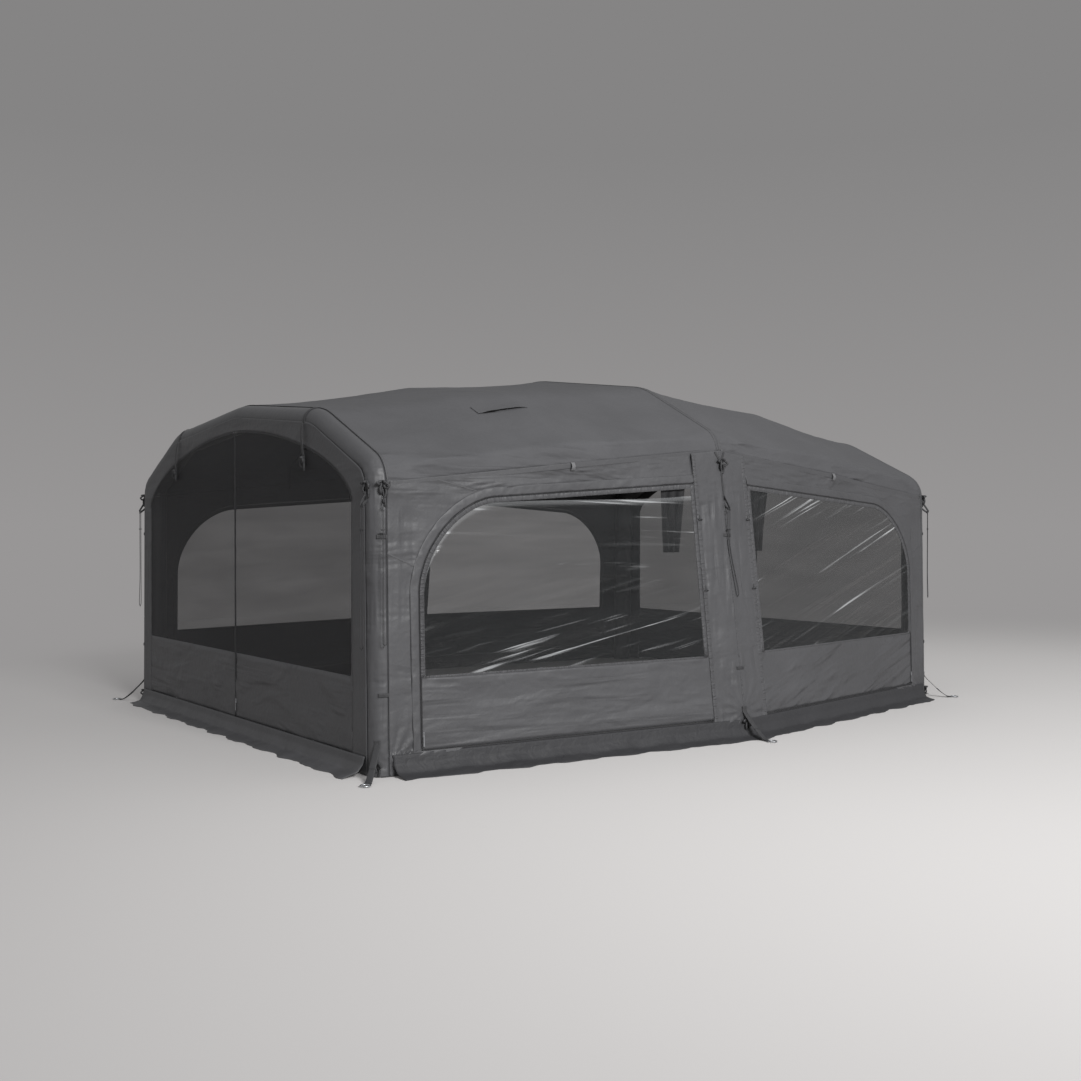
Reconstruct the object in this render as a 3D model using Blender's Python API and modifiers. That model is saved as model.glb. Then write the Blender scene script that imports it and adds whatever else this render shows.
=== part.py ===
"""Inflatable family tent: three air-beam arches under a charcoal skin with film windows.

The frame is in metres with +Z up. X runs along the tent, with the middle arch at X = 0.
Y runs across, with the near side at -Y. The origin is on the floor under the middle arch.
Far and right pieces repeat the near and left ones with the sign of side and end changed.
"""

from collections import namedtuple
from math import asin, atan2, cos, pi, sin, sqrt, tan

import bmesh
import bpy
from mathutils import Euler, Matrix, Vector

# Arch sizes, on the outside of the fabric
BAY_LENGTH = 2.39
END_BASE_WIDTH = 3.48
END_EAVE_HEIGHT = 1.625
END_LEG_LEAN = 0.03
END_SHOULDER_WIDTH = 2.08
END_SHOULDER_HEIGHT = 1.95
END_RIDGE_HEIGHT = 2.05
MIDDLE_BASE_WIDTH = 4.16
MIDDLE_EAVE_HEIGHT = 1.86
MIDDLE_LEG_LEAN = 0.25
MIDDLE_SHOULDER_WIDTH = 2.31
MIDDLE_SHOULDER_HEIGHT = 2.22
MIDDLE_RIDGE_HEIGHT = 2.375
EAVE_BEND_RADIUS = 0.19
SHOULDER_BEND_RADIUS = 0.5
RIDGE_BEND_RADIUS = 0.8
CLOTH_BEND_RADIUS = 0.06
EAVE_DRAW_LENGTH = 0.28

# Fabric, film and the clearances between pieces
FABRIC = 0.003
FILM = 0.002
FIT_GAP = 0.0003
CLOTH_GAP = 0.0009
ZIP_GAP = 0.0008
SEAM_GAP = 0.0015
FLOOR_GAP = 0.003
CUT_OVERRUN = 0.02

# Air beams
SLEEVE_RADIUS = 0.08
BLADDER_CLEARANCE = 0.0005
BLADDER_FOOT = 0.006
BEAM_SIDES = 12
EAVE_BEND_STEPS = 4
SHOULDER_BEND_STEPS = 2
RIDGE_BEND_STEPS = 2
VALVE_HEIGHT = 0.32
VALVE_NECK_RADIUS = 0.018
VALVE_NECK_STAND_OUT = 0.016
VALVE_PORT_CLEARANCE = 0.001
VALVE_SIDES = 16
CAP_RADIUS = 0.024
CAP_DEPTH = 0.02
CAP_TOP = 0.006
CAP_GRIP_RIB = 0.0015
CAP_GRIP_RIBS = 8

# Roof
ROOF_STATIONS = 8
ROOF_POLE_RADIUS = 0.008
ROOF_POLE_LIFT = 0.03
ROOF_SAG = 0.018
ROOF_POLE_END_DROP = 0.05
VENT_LENGTH = 0.3
VENT_SLOT = 0.045
VENT_SLOPE_SHARE = 0.78
VENT_BAY_SHARE = 0.44
VENT_FLAP_LENGTH = 0.34
VENT_FLAP_WIDTH = 0.1

# Side walls and their D-shaped doors, by distance from the middle arch and by height
PILLAR_HALF_WIDTH = 0.235
PILLAR_ROWS = 6
CORNER_PANEL_WIDTH = 0.26
SIDE_OPENING_FAR_EDGE = BAY_LENGTH - CORNER_PANEL_WIDTH
SIDE_OPENING_SILL = 0.12
SIDE_OPENING_SPRING = 0.94
SIDE_ARCH_RUN = 0.5
SIDE_ARCH_TOP = END_EAVE_HEIGHT - 0.175
SIDE_HEAD_NEAR_PILLAR = MIDDLE_EAVE_HEIGHT - 0.31
SIDE_ARCH_POWER = 1.8
SIDE_ARCH_STEPS = 8
SIDE_HEAD_STEPS = 6
SIDE_SILL_STEPS = 6
SIDE_JAMB_STEPS = 2
DOOR_BORDER = 0.03
LOWER_PANEL_TOP = 0.5
WINDOW_ROWS = 3

# End doors, by distance from the middle of the end
END_OPENING_HALF_WIDTH = END_BASE_WIDTH / 2 - 0.24
END_OPENING_SILL = 0.09
END_OPENING_SPRING = END_EAVE_HEIGHT - 0.205
END_OPENING_CROWN = END_RIDGE_HEIGHT - 0.17
END_ARCH_POWER = 1.7
END_ARCH_STEPS = 12

# Skirts
SKIRT_HEIGHT = 0.112
SKIRT_REACH = 0.12
SKIRT_FOLD_DEPTH = 0.012
SKIRT_FOLD_LENGTH = 0.34
SKIRT_CORNER_INSET = 0.1
SKIRT_COLUMN_LENGTH = 0.13
SKIRT_SECTION_SHARES = ((0.0, 1.0), (0.1, 0.5), (0.34, 0.1), (0.62, 0.03), (1.0, 0.0))

# Guy tabs, peg straps and rings
TAB_HEIGHT = 1.45
TAB_DROP = 0.05
TAB_REACH = 0.045
TAB_ROOT = 0.055
TAB_TIP = 0.011
TAB_HOLE_RADIUS = 0.005
WEBBING = 0.003
WEBBING_BITE = 0.002
STRAP_WIDTH = 0.036
STRAP_HEIGHT = 0.16
STRAP_STAND_OUT = 0.112
STRAP_FLOOR_START = 0.165
STRAP_REACH = 0.205
RING_RADIUS = 0.026
RING_WIRE_RADIUS = 0.004
RING_SIDES = 12
RING_WIRE_SIDES = 5

# Zip sliders
SLIDER_WIDTH = 0.012
SLIDER_LENGTH = 0.03
SLIDER_DEPTH = 0.007
SLIDER_EDGE = 0.003
PULL_WIDTH = 0.008
PULL_LENGTH = 0.06
PULL_THICKNESS = 0.0025
SIDE_SLIDER_HEIGHT = 0.2
END_SLIDER_HEIGHT = 0.2

# Curtain tails
TAIL_OVERLAP = 0.05
TAIL_LENGTH = 0.47
TAIL_TOP = SIDE_HEAD_NEAR_PILLAR + TAIL_OVERLAP
TAIL_BOTTOM = TAIL_TOP - TAIL_LENGTH
TAIL_WIDTH = 0.2
TAIL_FOOT_WIDTH = 0.1
TAIL_FROM_PILLAR = 0.05
TAIL_FOLD = 0.014
TAIL_FOLDS = 2.5
TAIL_COLUMNS = 12
TAIL_ROWS = 4
TAIL_THICKNESS = 0.004

# Guy lines: route points are along the wall, outwards from the tab and up, by hand
CORD_RADIUS = 0.002
CORD_SPACING = 0.08
STRAND_SPREAD = 0.008
RUNNER_WIDTH = 0.034
RUNNER_DEPTH = 0.014
RUNNER_THICKNESS = 0.005
RUNNER_HOLE_RADIUS = 0.0026
RUNNER_DROP = 0.12
HOLE_SIDES = 8

Arch = namedtuple(
    "Arch", "base_width eave_height lean shoulder_width shoulder_height ridge_height"
)
END_ARCH = Arch(
    END_BASE_WIDTH,
    END_EAVE_HEIGHT,
    END_LEG_LEAN,
    END_SHOULDER_WIDTH,
    END_SHOULDER_HEIGHT,
    END_RIDGE_HEIGHT,
)
MIDDLE_ARCH = Arch(
    MIDDLE_BASE_WIDTH,
    MIDDLE_EAVE_HEIGHT,
    MIDDLE_LEG_LEAN,
    MIDDLE_SHOULDER_WIDTH,
    MIDDLE_SHOULDER_HEIGHT,
    MIDDLE_RIDGE_HEIGHT,
)

NEAR, FAR = -1, 1
LEFT, RIGHT = -1, 1
SIDE_NAMES = {NEAR: "near", FAR: "far"}
END_NAMES = {LEFT: "left", RIGHT: "right"}

# Derived sizes
BEAM_INSET = FABRIC + FIT_GAP + SLEEVE_RADIUS
BEAM_X = BAY_LENGTH - BEAM_INSET
BLADDER_RADIUS = SLEEVE_RADIUS - FABRIC - BLADDER_CLEARANCE
FLAT_RADIUS = SLEEVE_RADIUS * cos(pi / BEAM_SIDES)

# Places of the guy tabs round an end leg, from the side's outward direction
CORNER_DIAGONAL = pi / 4
FLAT_ANGLE = pi / BEAM_SIDES
TAB_ANGLES = {
    (NEAR, LEFT): (FLAT_ANGLE, pi / 2 - FLAT_ANGLE),
    (FAR, LEFT): (CORNER_DIAGONAL,),
    (NEAR, RIGHT): (CORNER_DIAGONAL,),
    (FAR, RIGHT): (CORNER_DIAGONAL,),
}

# Routes of the folded guy lines from their tabs' eyes: along the wall, outwards and up
THROUGH_EYE = (
    (0.0045, 0.0, 0.0098), (0.0, 0.0, 0.0098), (-0.0055, 0.0, 0.007),
    (-STRAND_SPREAD, 0.0, 0.001), (-STRAND_SPREAD, 0.0, -0.012),
    (-STRAND_SPREAD, 0.0, -0.04), (-STRAND_SPREAD, 0.0, -0.1),
)
LINE_ROUTES = {
    "left_near_end": (
        *THROUGH_EYE, (-STRAND_SPREAD, 0.0, -0.2), (-STRAND_SPREAD, 0.0, -0.45),
        (-0.012, 0.003, -0.7), (-0.009, 0.0035, -0.724), (0.0, 0.004, -0.735),
        (0.009, 0.0035, -0.724), (0.012, 0.003, -0.7),
        (STRAND_SPREAD, 0.0, -0.45), (STRAND_SPREAD, 0.0, -0.2), (STRAND_SPREAD, 0.0, -0.003),
    ),
    "left_near_side": (
        *THROUGH_EYE, (-STRAND_SPREAD, 0.0, -0.2), (-STRAND_SPREAD, 0.0, -0.45),
        (-0.01, 0.003, -0.68), (-0.008, 0.0035, -0.702), (0.0, 0.004, -0.712),
        (0.008, 0.0035, -0.702), (0.01, 0.003, -0.68),
        (STRAND_SPREAD, 0.0, -0.45), (STRAND_SPREAD, 0.0, -0.2), (STRAND_SPREAD, 0.0, -0.003),
    ),
    "middle_near": (
        *THROUGH_EYE, (-STRAND_SPREAD, 0.0, -0.18), (-STRAND_SPREAD, 0.0, -0.21),
        (0.0, 0.0095, -0.3), (0.014, 0.0225, -0.4), (0.026, 0.036, -0.5),
        (0.03, 0.0395, -0.524), (0.038, 0.041, -0.534), (0.046, 0.0395, -0.524),
        (0.05, 0.036, -0.5), (0.034, 0.0225, -0.4), (0.018, 0.0095, -0.3),
        (STRAND_SPREAD, 0.0, -0.21), (STRAND_SPREAD, 0.0, -0.18), (STRAND_SPREAD, 0.0, -0.003),
    ),
    "right_near": (
        *THROUGH_EYE, (-STRAND_SPREAD, 0.0, -0.2), (-STRAND_SPREAD, 0.0, -0.45),
        (-0.014, 0.003, -0.6), (-0.01, 0.0035, -0.627), (0.0, 0.004, -0.64),
        (0.01, 0.0035, -0.627), (0.014, 0.003, -0.6),
        (STRAND_SPREAD, 0.0, -0.45), (STRAND_SPREAD, 0.0, -0.2), (STRAND_SPREAD, 0.0, -0.003),
    ),
    "left_far": (
        *THROUGH_EYE, (-STRAND_SPREAD, 0.0, -0.2), (-STRAND_SPREAD, 0.0, -0.45),
        (-0.014, 0.003, -0.65), (-0.01, 0.0035, -0.677), (0.0, 0.004, -0.69),
        (0.01, 0.0035, -0.677), (0.014, 0.003, -0.65),
        (STRAND_SPREAD, 0.0, -0.45), (STRAND_SPREAD, 0.0, -0.2), (STRAND_SPREAD, 0.0, -0.003),
    ),
}
LINE_PLACES = {
    "left_near_end": (NEAR, LEFT, pi / 2 - FLAT_ANGLE),
    "left_near_side": (NEAR, LEFT, FLAT_ANGLE),
    "middle_near": (NEAR, 0, 0.0),
    "right_near": (NEAR, RIGHT, CORNER_DIAGONAL),
    "left_far": (FAR, LEFT, CORNER_DIAGONAL),
}


# Materials

def surface_material(name, colour, roughness, metallic=0.0, alpha=1.0):
    """A Principled BSDF with the part's colour, roughness and metallic value."""
    material = bpy.data.materials.new(name)
    material.use_nodes = True
    shader = material.node_tree.nodes["Principled BSDF"]
    shader.inputs["Base Color"].default_value = (*colour, 1.0)
    shader.inputs["Roughness"].default_value = roughness
    shader.inputs["Metallic"].default_value = metallic
    shader.inputs["Alpha"].default_value = alpha
    return material


def make_materials():
    return {
        "skin": surface_material("charcoal_polyester", (0.095, 0.095, 0.1), 0.5),
        "sleeve": surface_material("charcoal_sleeve", (0.08, 0.08, 0.085), 0.5),
        "bladder": surface_material("bladder_film", (0.55, 0.56, 0.58), 0.35),
        "film": surface_material("window_film", (0.75, 0.77, 0.78), 0.12, alpha=0.35),
        "mesh": surface_material("insect_mesh", (0.03, 0.03, 0.033), 0.8, alpha=0.6),
        "curtain": surface_material("curtain_cloth", (0.05, 0.05, 0.055), 0.75),
        "metal": surface_material("zip_alloy", (0.55, 0.55, 0.56), 0.3, metallic=1.0),
        "pole": surface_material("pole_fibreglass", (0.06, 0.06, 0.065), 0.35),
        "plastic": surface_material("black_plastic", (0.03, 0.03, 0.032), 0.45),
        "cord": surface_material("guy_cord", (0.12, 0.12, 0.125), 0.7),
    }


# Objects and meshes

def clear_scene():
    for old in list(bpy.data.objects):
        bpy.data.objects.remove(old, do_unlink=True)


def make_collection(name):
    collection = bpy.data.collections.new(name)
    bpy.context.scene.collection.children.link(collection)
    return collection


def place(data, name, material, collection):
    """One object from its mesh or curve, in its collection."""
    made = bpy.data.objects.new(name, data)
    made.data.materials.append(material)
    collection.objects.link(made)
    return made


def from_bmesh(shape, name, material, collection):
    mesh = bpy.data.meshes.new(name)
    shape.to_mesh(mesh)
    shape.free()
    return place(mesh, name, material, collection)


def loft(rows, close_rows=False, close_columns=False):
    """A surface through rows of points, closed round the rows or the columns if asked."""
    shape = bmesh.new()
    grid = [[shape.verts.new(point) for point in row] for row in rows]
    row_pairs = list(zip(grid, grid[1:]))
    if close_rows:
        row_pairs.append((grid[-1], grid[0]))
    for first, second in row_pairs:
        steps = len(first) if close_columns else len(first) - 1
        for index in range(steps):
            after = (index + 1) % len(first)
            shape.faces.new((first[index], first[after], second[after], second[index]))
    return shape


def face_outwards(shape, outward):
    """Turns an open surface over where its faces look against outward."""
    total = sum((face.normal * face.calc_area() for face in shape.faces), Vector())
    if total.dot(outward) < 0:
        bmesh.ops.reverse_faces(shape, faces=shape.faces)


def sheet(rows, outward, thickness, name, material, collection, ring=False):
    """A sheet of cloth whose outer face is the loft of rows, thickened inwards."""
    shape = loft(rows, close_columns=ring)
    shape.normal_update()
    face_outwards(shape, Vector(outward))
    made = from_bmesh(shape, name, material, collection)
    made.data.shade_smooth()
    solid = made.modifiers.new("thickness", "SOLIDIFY")
    solid.thickness = thickness
    solid.offset = -1.0
    return made


def flat_curve(outlines, half_thickness, name):
    """A filled flat outline, with any further outlines as holes, extruded both ways."""
    curve = bpy.data.curves.new(name, "CURVE")
    curve.dimensions = "2D"
    curve.fill_mode = "BOTH"
    curve.extrude = half_thickness
    for outline in outlines:
        spline = curve.splines.new("POLY")
        spline.points.add(len(outline) - 1)
        for place_in, (across, up) in zip(spline.points, outline):
            place_in.co = (across, up, 0.0, 1.0)
        spline.use_cyclic_u = True
    return curve


def mesh_from_curve(curve, matrix, name, material, collection):
    """The mesh of a curve set in place, with its caps welded, so that it can be cut."""
    guide = bpy.data.objects.new(name + "_curve", curve)
    bpy.context.scene.collection.objects.link(guide)
    bpy.context.view_layer.update()
    graph = bpy.context.evaluated_depsgraph_get()
    mesh = bpy.data.meshes.new_from_object(guide.evaluated_get(graph))
    bpy.data.objects.remove(guide, do_unlink=True)
    shape = bmesh.new()
    shape.from_mesh(mesh)
    bmesh.ops.remove_doubles(shape, verts=shape.verts, dist=FIT_GAP / 10)
    bmesh.ops.transform(shape, matrix=matrix, verts=shape.verts)
    bmesh.ops.recalc_face_normals(shape, faces=shape.faces)
    mesh.materials.clear()
    shape.to_mesh(mesh)
    shape.free()
    return place(mesh, name, material, collection)


def join_to(target, helper, operation="UNION"):
    """Joins a helper to its target, or cuts it out, with an exact Boolean."""
    step = target.modifiers.new(helper.name, "BOOLEAN")
    step.operation = operation
    step.solver = "EXACT"
    step.object = helper
    helper.hide_render = True
    helper.display_type = "WIRE"


def move_origin(made, point):
    """Sets an object's origin to a point of its joint's axis and leaves its shape in place."""
    made.data.transform(Matrix.Translation(-Vector(point)))
    made.location = point


def hinge_empty(name, point, collection):
    empty = bpy.data.objects.new(name, None)
    empty.location = point
    collection.objects.link(empty)
    return empty


def hang_on(empty, made):
    made.parent = empty
    made.matrix_parent_inverse = Matrix.Translation(-empty.location)


def circle(radius, sides, centre=(0.0, 0.0)):
    turn = 2 * pi / sides
    return [
        (centre[0] + radius * cos(turn * step), centre[1] + radius * sin(turn * step))
        for step in range(sides)
    ]


def blend(first, second, share):
    return first + (second - first) * share


# Arch outlines

def rounded_corner(corner, before, after, radius, steps):
    """Points and outward normals round one corner of an outline that climbs from +Y."""
    into = (corner - before).normalized()
    out_of = (after - corner).normalized()
    first = Vector((into.y, -into.x))
    last = Vector((out_of.y, -out_of.x))
    start_angle = atan2(first.y, first.x)
    turn = atan2(last.y, last.x) - start_angle
    centre = corner - into * radius * tan(turn / 2) - first * radius
    found = []
    for step in range(steps + 1):
        angle = start_angle + turn * step / steps
        normal = Vector((cos(angle), sin(angle)))
        found.append((centre + normal * radius, normal))
    return found


def tight_corner(corner, before, after, radius, steps):
    """The same corner, point for point, where cloth runs straight on to a small bend."""
    wide = rounded_corner(corner, before, after, radius, steps)
    return [wide[0], *rounded_corner(corner, before, after, CLOTH_BEND_RADIUS, steps - 2),
            wide[-1]]


def arch_outline(arch, eave_corner=rounded_corner):
    """Points (Y, Z) with outward normals, from the far foot over the ridge to the near foot."""
    foot = Vector((arch.base_width / 2, 0.0))
    eave = Vector((arch.base_width / 2 - arch.lean, arch.eave_height))
    shoulder = Vector((arch.shoulder_width / 2, arch.shoulder_height))
    ridge = Vector((0.0, arch.ridge_height))
    past_ridge = Vector((-shoulder.x, shoulder.y))
    rise = (eave - foot).normalized()
    half = [(foot, Vector((rise.y, -rise.x)))]
    half += eave_corner(eave, foot, shoulder, EAVE_BEND_RADIUS, EAVE_BEND_STEPS)
    half += rounded_corner(shoulder, eave, ridge, SHOULDER_BEND_RADIUS, SHOULDER_BEND_STEPS)
    top = rounded_corner(ridge, shoulder, past_ridge, RIDGE_BEND_RADIUS, RIDGE_BEND_STEPS)
    half += top[: RIDGE_BEND_STEPS // 2 + 1]
    mirrored = [
        (Vector((-point.x, point.y)), Vector((-normal.x, normal.y)))
        for point, normal in reversed(half[:-1])
    ]
    return half + mirrored


def leg_half_width(arch, height):
    """Half the width of an arch's outside at a height on its leg."""
    return arch.base_width / 2 - arch.lean * height / arch.eave_height


def wall_point(from_middle, height, side, end):
    """A point of the side wall's outer face, ruled between an end leg and the middle leg."""
    share = from_middle / BEAM_X
    half_width = blend(
        leg_half_width(MIDDLE_ARCH, height), leg_half_width(END_ARCH, height), share
    )
    return Vector((end * from_middle, side * half_width, height))


def wall_normal(from_middle, height, side, end):
    step = FABRIC
    point = wall_point(from_middle, height, side, end)
    along = wall_point(from_middle + step, height, side, end) - point
    rise = wall_point(from_middle, height + step, side, end) - point
    normal = along.cross(rise).normalized()
    return normal if normal.y * side > 0 else -normal


def roof_lift(share):
    """How far the pole holds the roof up at a share of the bay, less the sag between."""
    half_share = (2 * share) % 1.0
    tent_pole = 1 - abs(2 * share - 1)
    return ROOF_POLE_LIFT * tent_pole - ROOF_SAG * 4 * half_share * (1 - half_share)


def roof_outline_point(index, share):
    """A canopy's outline and its normal there: round at the arches, drawn tight between."""
    drawn = min(min(share, 1 - share) * BEAM_X / EAVE_DRAW_LENGTH, 1.0)
    found = []
    for arch in (END_ARCH, MIDDLE_ARCH):
        wide, tight = arch_outline(arch)[index], arch_outline(arch, tight_corner)[index]
        found.append([blend(first, second, drawn) for first, second in zip(wide, tight)])
    point, normal = (blend(first, second, share) for first, second in zip(*found))
    return point, normal.normalized()


def roof_point(index, share, end):
    """A point of a canopy's outer face: index along the outline, share from end to middle."""
    point, normal = roof_outline_point(index, share)
    lifted = point + normal * roof_lift(share)
    return Vector((end * blend(BEAM_X, SEAM_GAP / 2, share), lifted.x, lifted.y))


def eave_point(share, side, end):
    """The lower edge of a canopy."""
    return roof_point(1 if side == FAR else -2, share, end)


# Air beams

def beam_rings(arch, beam_x, radius, foot):
    """Rings of points round an arch, the two end rings cut level at the foot."""
    rings = []
    for point, normal in arch_outline(arch):
        centre = point - normal * BEAM_INSET
        rings.append(
            [
                Vector((beam_x + radius * sin(angle), *(centre + normal * radius * cos(angle))))
                for angle in (2 * pi * step / BEAM_SIDES for step in range(BEAM_SIDES))
            ]
        )
    for end_ring, next_ring in ((rings[0], rings[1]), (rings[-1], rings[-2])):
        rise = (next_ring[0] - end_ring[0]).normalized()
        for point in end_ring:
            point += rise * ((foot - point.z) / rise.z)
    return rings


def make_bladder(name, arch, beam_x, material, collection):
    """The inflated tube, closed at both feet."""
    rings = beam_rings(arch, beam_x, BLADDER_RADIUS, BLADDER_FOOT)
    shape = loft(rings, close_columns=True)
    bmesh.ops.holes_fill(shape, edges=[edge for edge in shape.edges if edge.is_boundary])
    bmesh.ops.recalc_face_normals(shape, faces=shape.faces)
    return from_bmesh(shape, name, material, collection)


def make_sleeve(name, arch, beam_x, material, collection):
    """The fabric tube round the bladder, open at both feet, standing on its hems."""
    outer = beam_rings(arch, beam_x, SLEEVE_RADIUS, 0.0)
    inner = beam_rings(arch, beam_x, SLEEVE_RADIUS - FABRIC, 0.0)
    shape = loft(outer + inner[::-1], close_rows=True, close_columns=True)
    bmesh.ops.recalc_face_normals(shape, faces=shape.faces)
    made = from_bmesh(shape, name, material, collection)
    made.data.shade_smooth()
    return made


def valve_frame(arch, beam_x):
    """The middle of the near leg's tube at the valve, and the valve's direction inwards."""
    lean = atan2(arch.lean, arch.eave_height)
    inwards = Vector((0.0, cos(lean), -sin(lean)))
    outside = Vector((beam_x, -leg_half_width(arch, VALVE_HEIGHT), VALVE_HEIGHT))
    return outside + inwards * BEAM_INSET, inwards


def turned_solid(profile, axis_matrix, name, material, collection):
    """A turned piece from its (radius, height) outline, outer side first."""
    turn = 2 * pi / VALVE_SIDES
    rings = [
        [Vector((radius * cos(turn * step), radius * sin(turn * step), height))
         for step in range(VALVE_SIDES)]
        for radius, height in profile
    ]
    shape = loft(rings, close_columns=True)
    bmesh.ops.holes_fill(shape, edges=[edge for edge in shape.edges if edge.is_boundary])
    bmesh.ops.transform(shape, matrix=axis_matrix, verts=shape.verts)
    bmesh.ops.recalc_face_normals(shape, faces=shape.faces)
    return from_bmesh(shape, name, material, collection)


def valve_matrix(arch, beam_x):
    centre, inwards = valve_frame(arch, beam_x)
    return Matrix.Translation(centre) @ inwards.to_track_quat("Z", "Y").to_matrix().to_4x4()


def make_valve(name, arch, beam_x, bladder, sleeve, materials, parts, cutters):
    """A neck on the bladder, its port through the sleeve and its ribbed screw cap."""
    matrix = valve_matrix(arch, beam_x)
    neck_top = SLEEVE_RADIUS + VALVE_NECK_STAND_OUT
    neck = turned_solid(
        ((VALVE_NECK_RADIUS, BLADDER_RADIUS / 2), (VALVE_NECK_RADIUS, neck_top)),
        matrix, name + "_neck", materials["bladder"], cutters,
    )
    join_to(bladder, neck)
    port_radius = VALVE_NECK_RADIUS + VALVE_PORT_CLEARANCE
    port = turned_solid(
        ((port_radius, BLADDER_RADIUS / 2), (port_radius, SLEEVE_RADIUS + CUT_OVERRUN)),
        matrix, name + "_port", materials["sleeve"], cutters,
    )
    join_to(sleeve, port, "DIFFERENCE")
    bore = (VALVE_NECK_RADIUS + FIT_GAP) / cos(pi / VALVE_SIDES)
    cap_top = neck_top + FIT_GAP + CAP_TOP
    cap_foot = cap_top - CAP_DEPTH
    cap = turned_solid(
        (
            (bore, neck_top + FIT_GAP),
            (bore, cap_foot),
            (CAP_RADIUS, cap_foot),
            (CAP_RADIUS, cap_top - CAP_GRIP_RIB),
            (CAP_RADIUS - CAP_GRIP_RIB, cap_top),
        ),
        matrix, name, materials["plastic"], parts,
    )
    rib_step = VALVE_SIDES // CAP_GRIP_RIBS
    centre = matrix @ Vector((0.0, 0.0, cap_top))
    inwards = valve_frame(arch, beam_x)[1]
    for index, vertex in enumerate(cap.data.vertices):
        ring, step = divmod(index, VALVE_SIDES)
        if ring in (2, 3) and step % rib_step:
            spoke = vertex.co - centre
            spoke -= inwards * spoke.dot(inwards)
            vertex.co -= spoke.normalized() * CAP_GRIP_RIB
    move_origin(cap, centre)
    return cap


# Roof

def make_canopy(name, end, material, collection):
    """The roof of one bay, from its lower edge over the ridge to the other lower edge."""
    last = len(arch_outline(END_ARCH)) - 1
    rows = [
        [roof_point(index, station / ROOF_STATIONS, end) for index in range(1, last)]
        for station in range(ROOF_STATIONS + 1)
    ]
    return sheet(rows, (0, 0, 1), FABRIC, name, material, collection)


def make_roof_pole(name, end, material, collection):
    """The sprung pole across the middle of a bay, its tips in the eave pockets."""
    share = 1 / 2
    last = len(arch_outline(END_ARCH)) - 1
    inset = FABRIC + CLOTH_GAP + ROOF_POLE_RADIUS
    route = []
    for index in range(1, last):
        normal = roof_outline_point(index, share)[1]
        route.append(roof_point(index, share, end) - Vector((0.0, *normal)) * inset)
    from_middle = BEAM_X * (1 - share)
    for tip, side in ((0, FAR), (-1, NEAR)):
        head = wall_point(from_middle, opening_head(from_middle), side, end)
        down = (head - eave_point(share, side, end)).normalized()
        route[tip] = route[tip] + down * ROOF_POLE_END_DROP
        route[tip].y -= side * CLOTH_GAP
    curve = bpy.data.curves.new(name, "CURVE")
    curve.dimensions = "3D"
    curve.bevel_depth = ROOF_POLE_RADIUS
    curve.bevel_resolution = 2
    curve.use_fill_caps = True
    spline = curve.splines.new("POLY")
    spline.points.add(len(route) - 1)
    for point, where in zip(spline.points, route):
        point.co = (*where, 1.0)
    return place(curve, name, material, collection)


def vent_frame(end):
    """The vent's place on the near slope: its middle, and its along, uphill and outward axes."""
    eave_index = -2 - EAVE_BEND_STEPS
    shoulder_index = eave_index - 1
    low = roof_point(eave_index, VENT_BAY_SHARE, end)
    high = roof_point(shoulder_index, VENT_BAY_SHARE, end)
    beside = VENT_BAY_SHARE + 1 / ROOF_STATIONS
    along = (roof_point(eave_index, beside, end) - low).normalized()
    uphill = (high - low).normalized()
    outward = along.cross(uphill).normalized()
    outward = outward if outward.z > 0 else -outward
    return blend(low, high, VENT_SLOPE_SHARE), along, uphill, outward


def facet_point(index, share, end):
    """A point on the straight facets between a canopy's stations."""
    station = min(int(share * ROOF_STATIONS), ROOF_STATIONS - 1)
    first = roof_point(index, station / ROOF_STATIONS, end)
    second = roof_point(index, (station + 1) / ROOF_STATIONS, end)
    return blend(first, second, share * ROOF_STATIONS - station)


def slope_point(share, slope_share, end, lift):
    """A point of the near slope between eave and shoulder, lifted along its normal."""
    eave_index = -2 - EAVE_BEND_STEPS
    low = facet_point(eave_index, share, end)
    high = facet_point(eave_index - 1, share, end)
    normal = blend(
        arch_outline(END_ARCH)[eave_index][1], arch_outline(MIDDLE_ARCH)[eave_index][1], share
    ).normalized()
    return blend(low, high, slope_share) + Vector((0.0, *normal)) * lift


def make_vent(end, canopy, materials, parts, cutters):
    """The slot through the canopy and the flap that covers it, hinged on its upper edge."""
    middle, along, uphill, outward = vent_frame(end)
    basis = Matrix((along, uphill, outward)).transposed().to_4x4()
    shape = bmesh.new()
    bmesh.ops.create_cube(shape, size=1.0)
    size = Matrix.Diagonal((VENT_LENGTH, VENT_SLOT, 2 * CUT_OVERRUN, 1.0))
    bmesh.ops.transform(
        shape, matrix=Matrix.Translation(middle) @ basis @ size, verts=shape.verts
    )
    bmesh.ops.recalc_face_normals(shape, faces=shape.faces)
    slot = from_bmesh(shape, "vent_slot", materials["skin"], cutters)
    join_to(canopy, slot, "DIFFERENCE")
    slope = (slope_point(VENT_BAY_SHARE, 1.0, end, 0.0)
             - slope_point(VENT_BAY_SHARE, 0.0, end, 0.0)).length
    half_share = VENT_FLAP_LENGTH / BEAM_X / 2
    half_slope = VENT_FLAP_WIDTH / slope / 2
    lift = CLOTH_GAP + FABRIC
    first, last = VENT_BAY_SHARE - half_share, VENT_BAY_SHARE + half_share
    stations = [station / ROOF_STATIONS for station in range(ROOF_STATIONS + 1)]
    shares = [first, *(share for share in stations if first < share < last), last]
    rows = [
        [slope_point(share, VENT_SLOPE_SHARE + half_slope * edge, end, lift) for share in shares]
        for edge in (-1, 1)
    ]
    flap = sheet(rows, outward, FABRIC, "roof_vent_flap", materials["skin"], parts)
    move_origin(flap, (rows[1][0] + rows[1][-1]) / 2)
    return flap


# Side walls and doors

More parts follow.
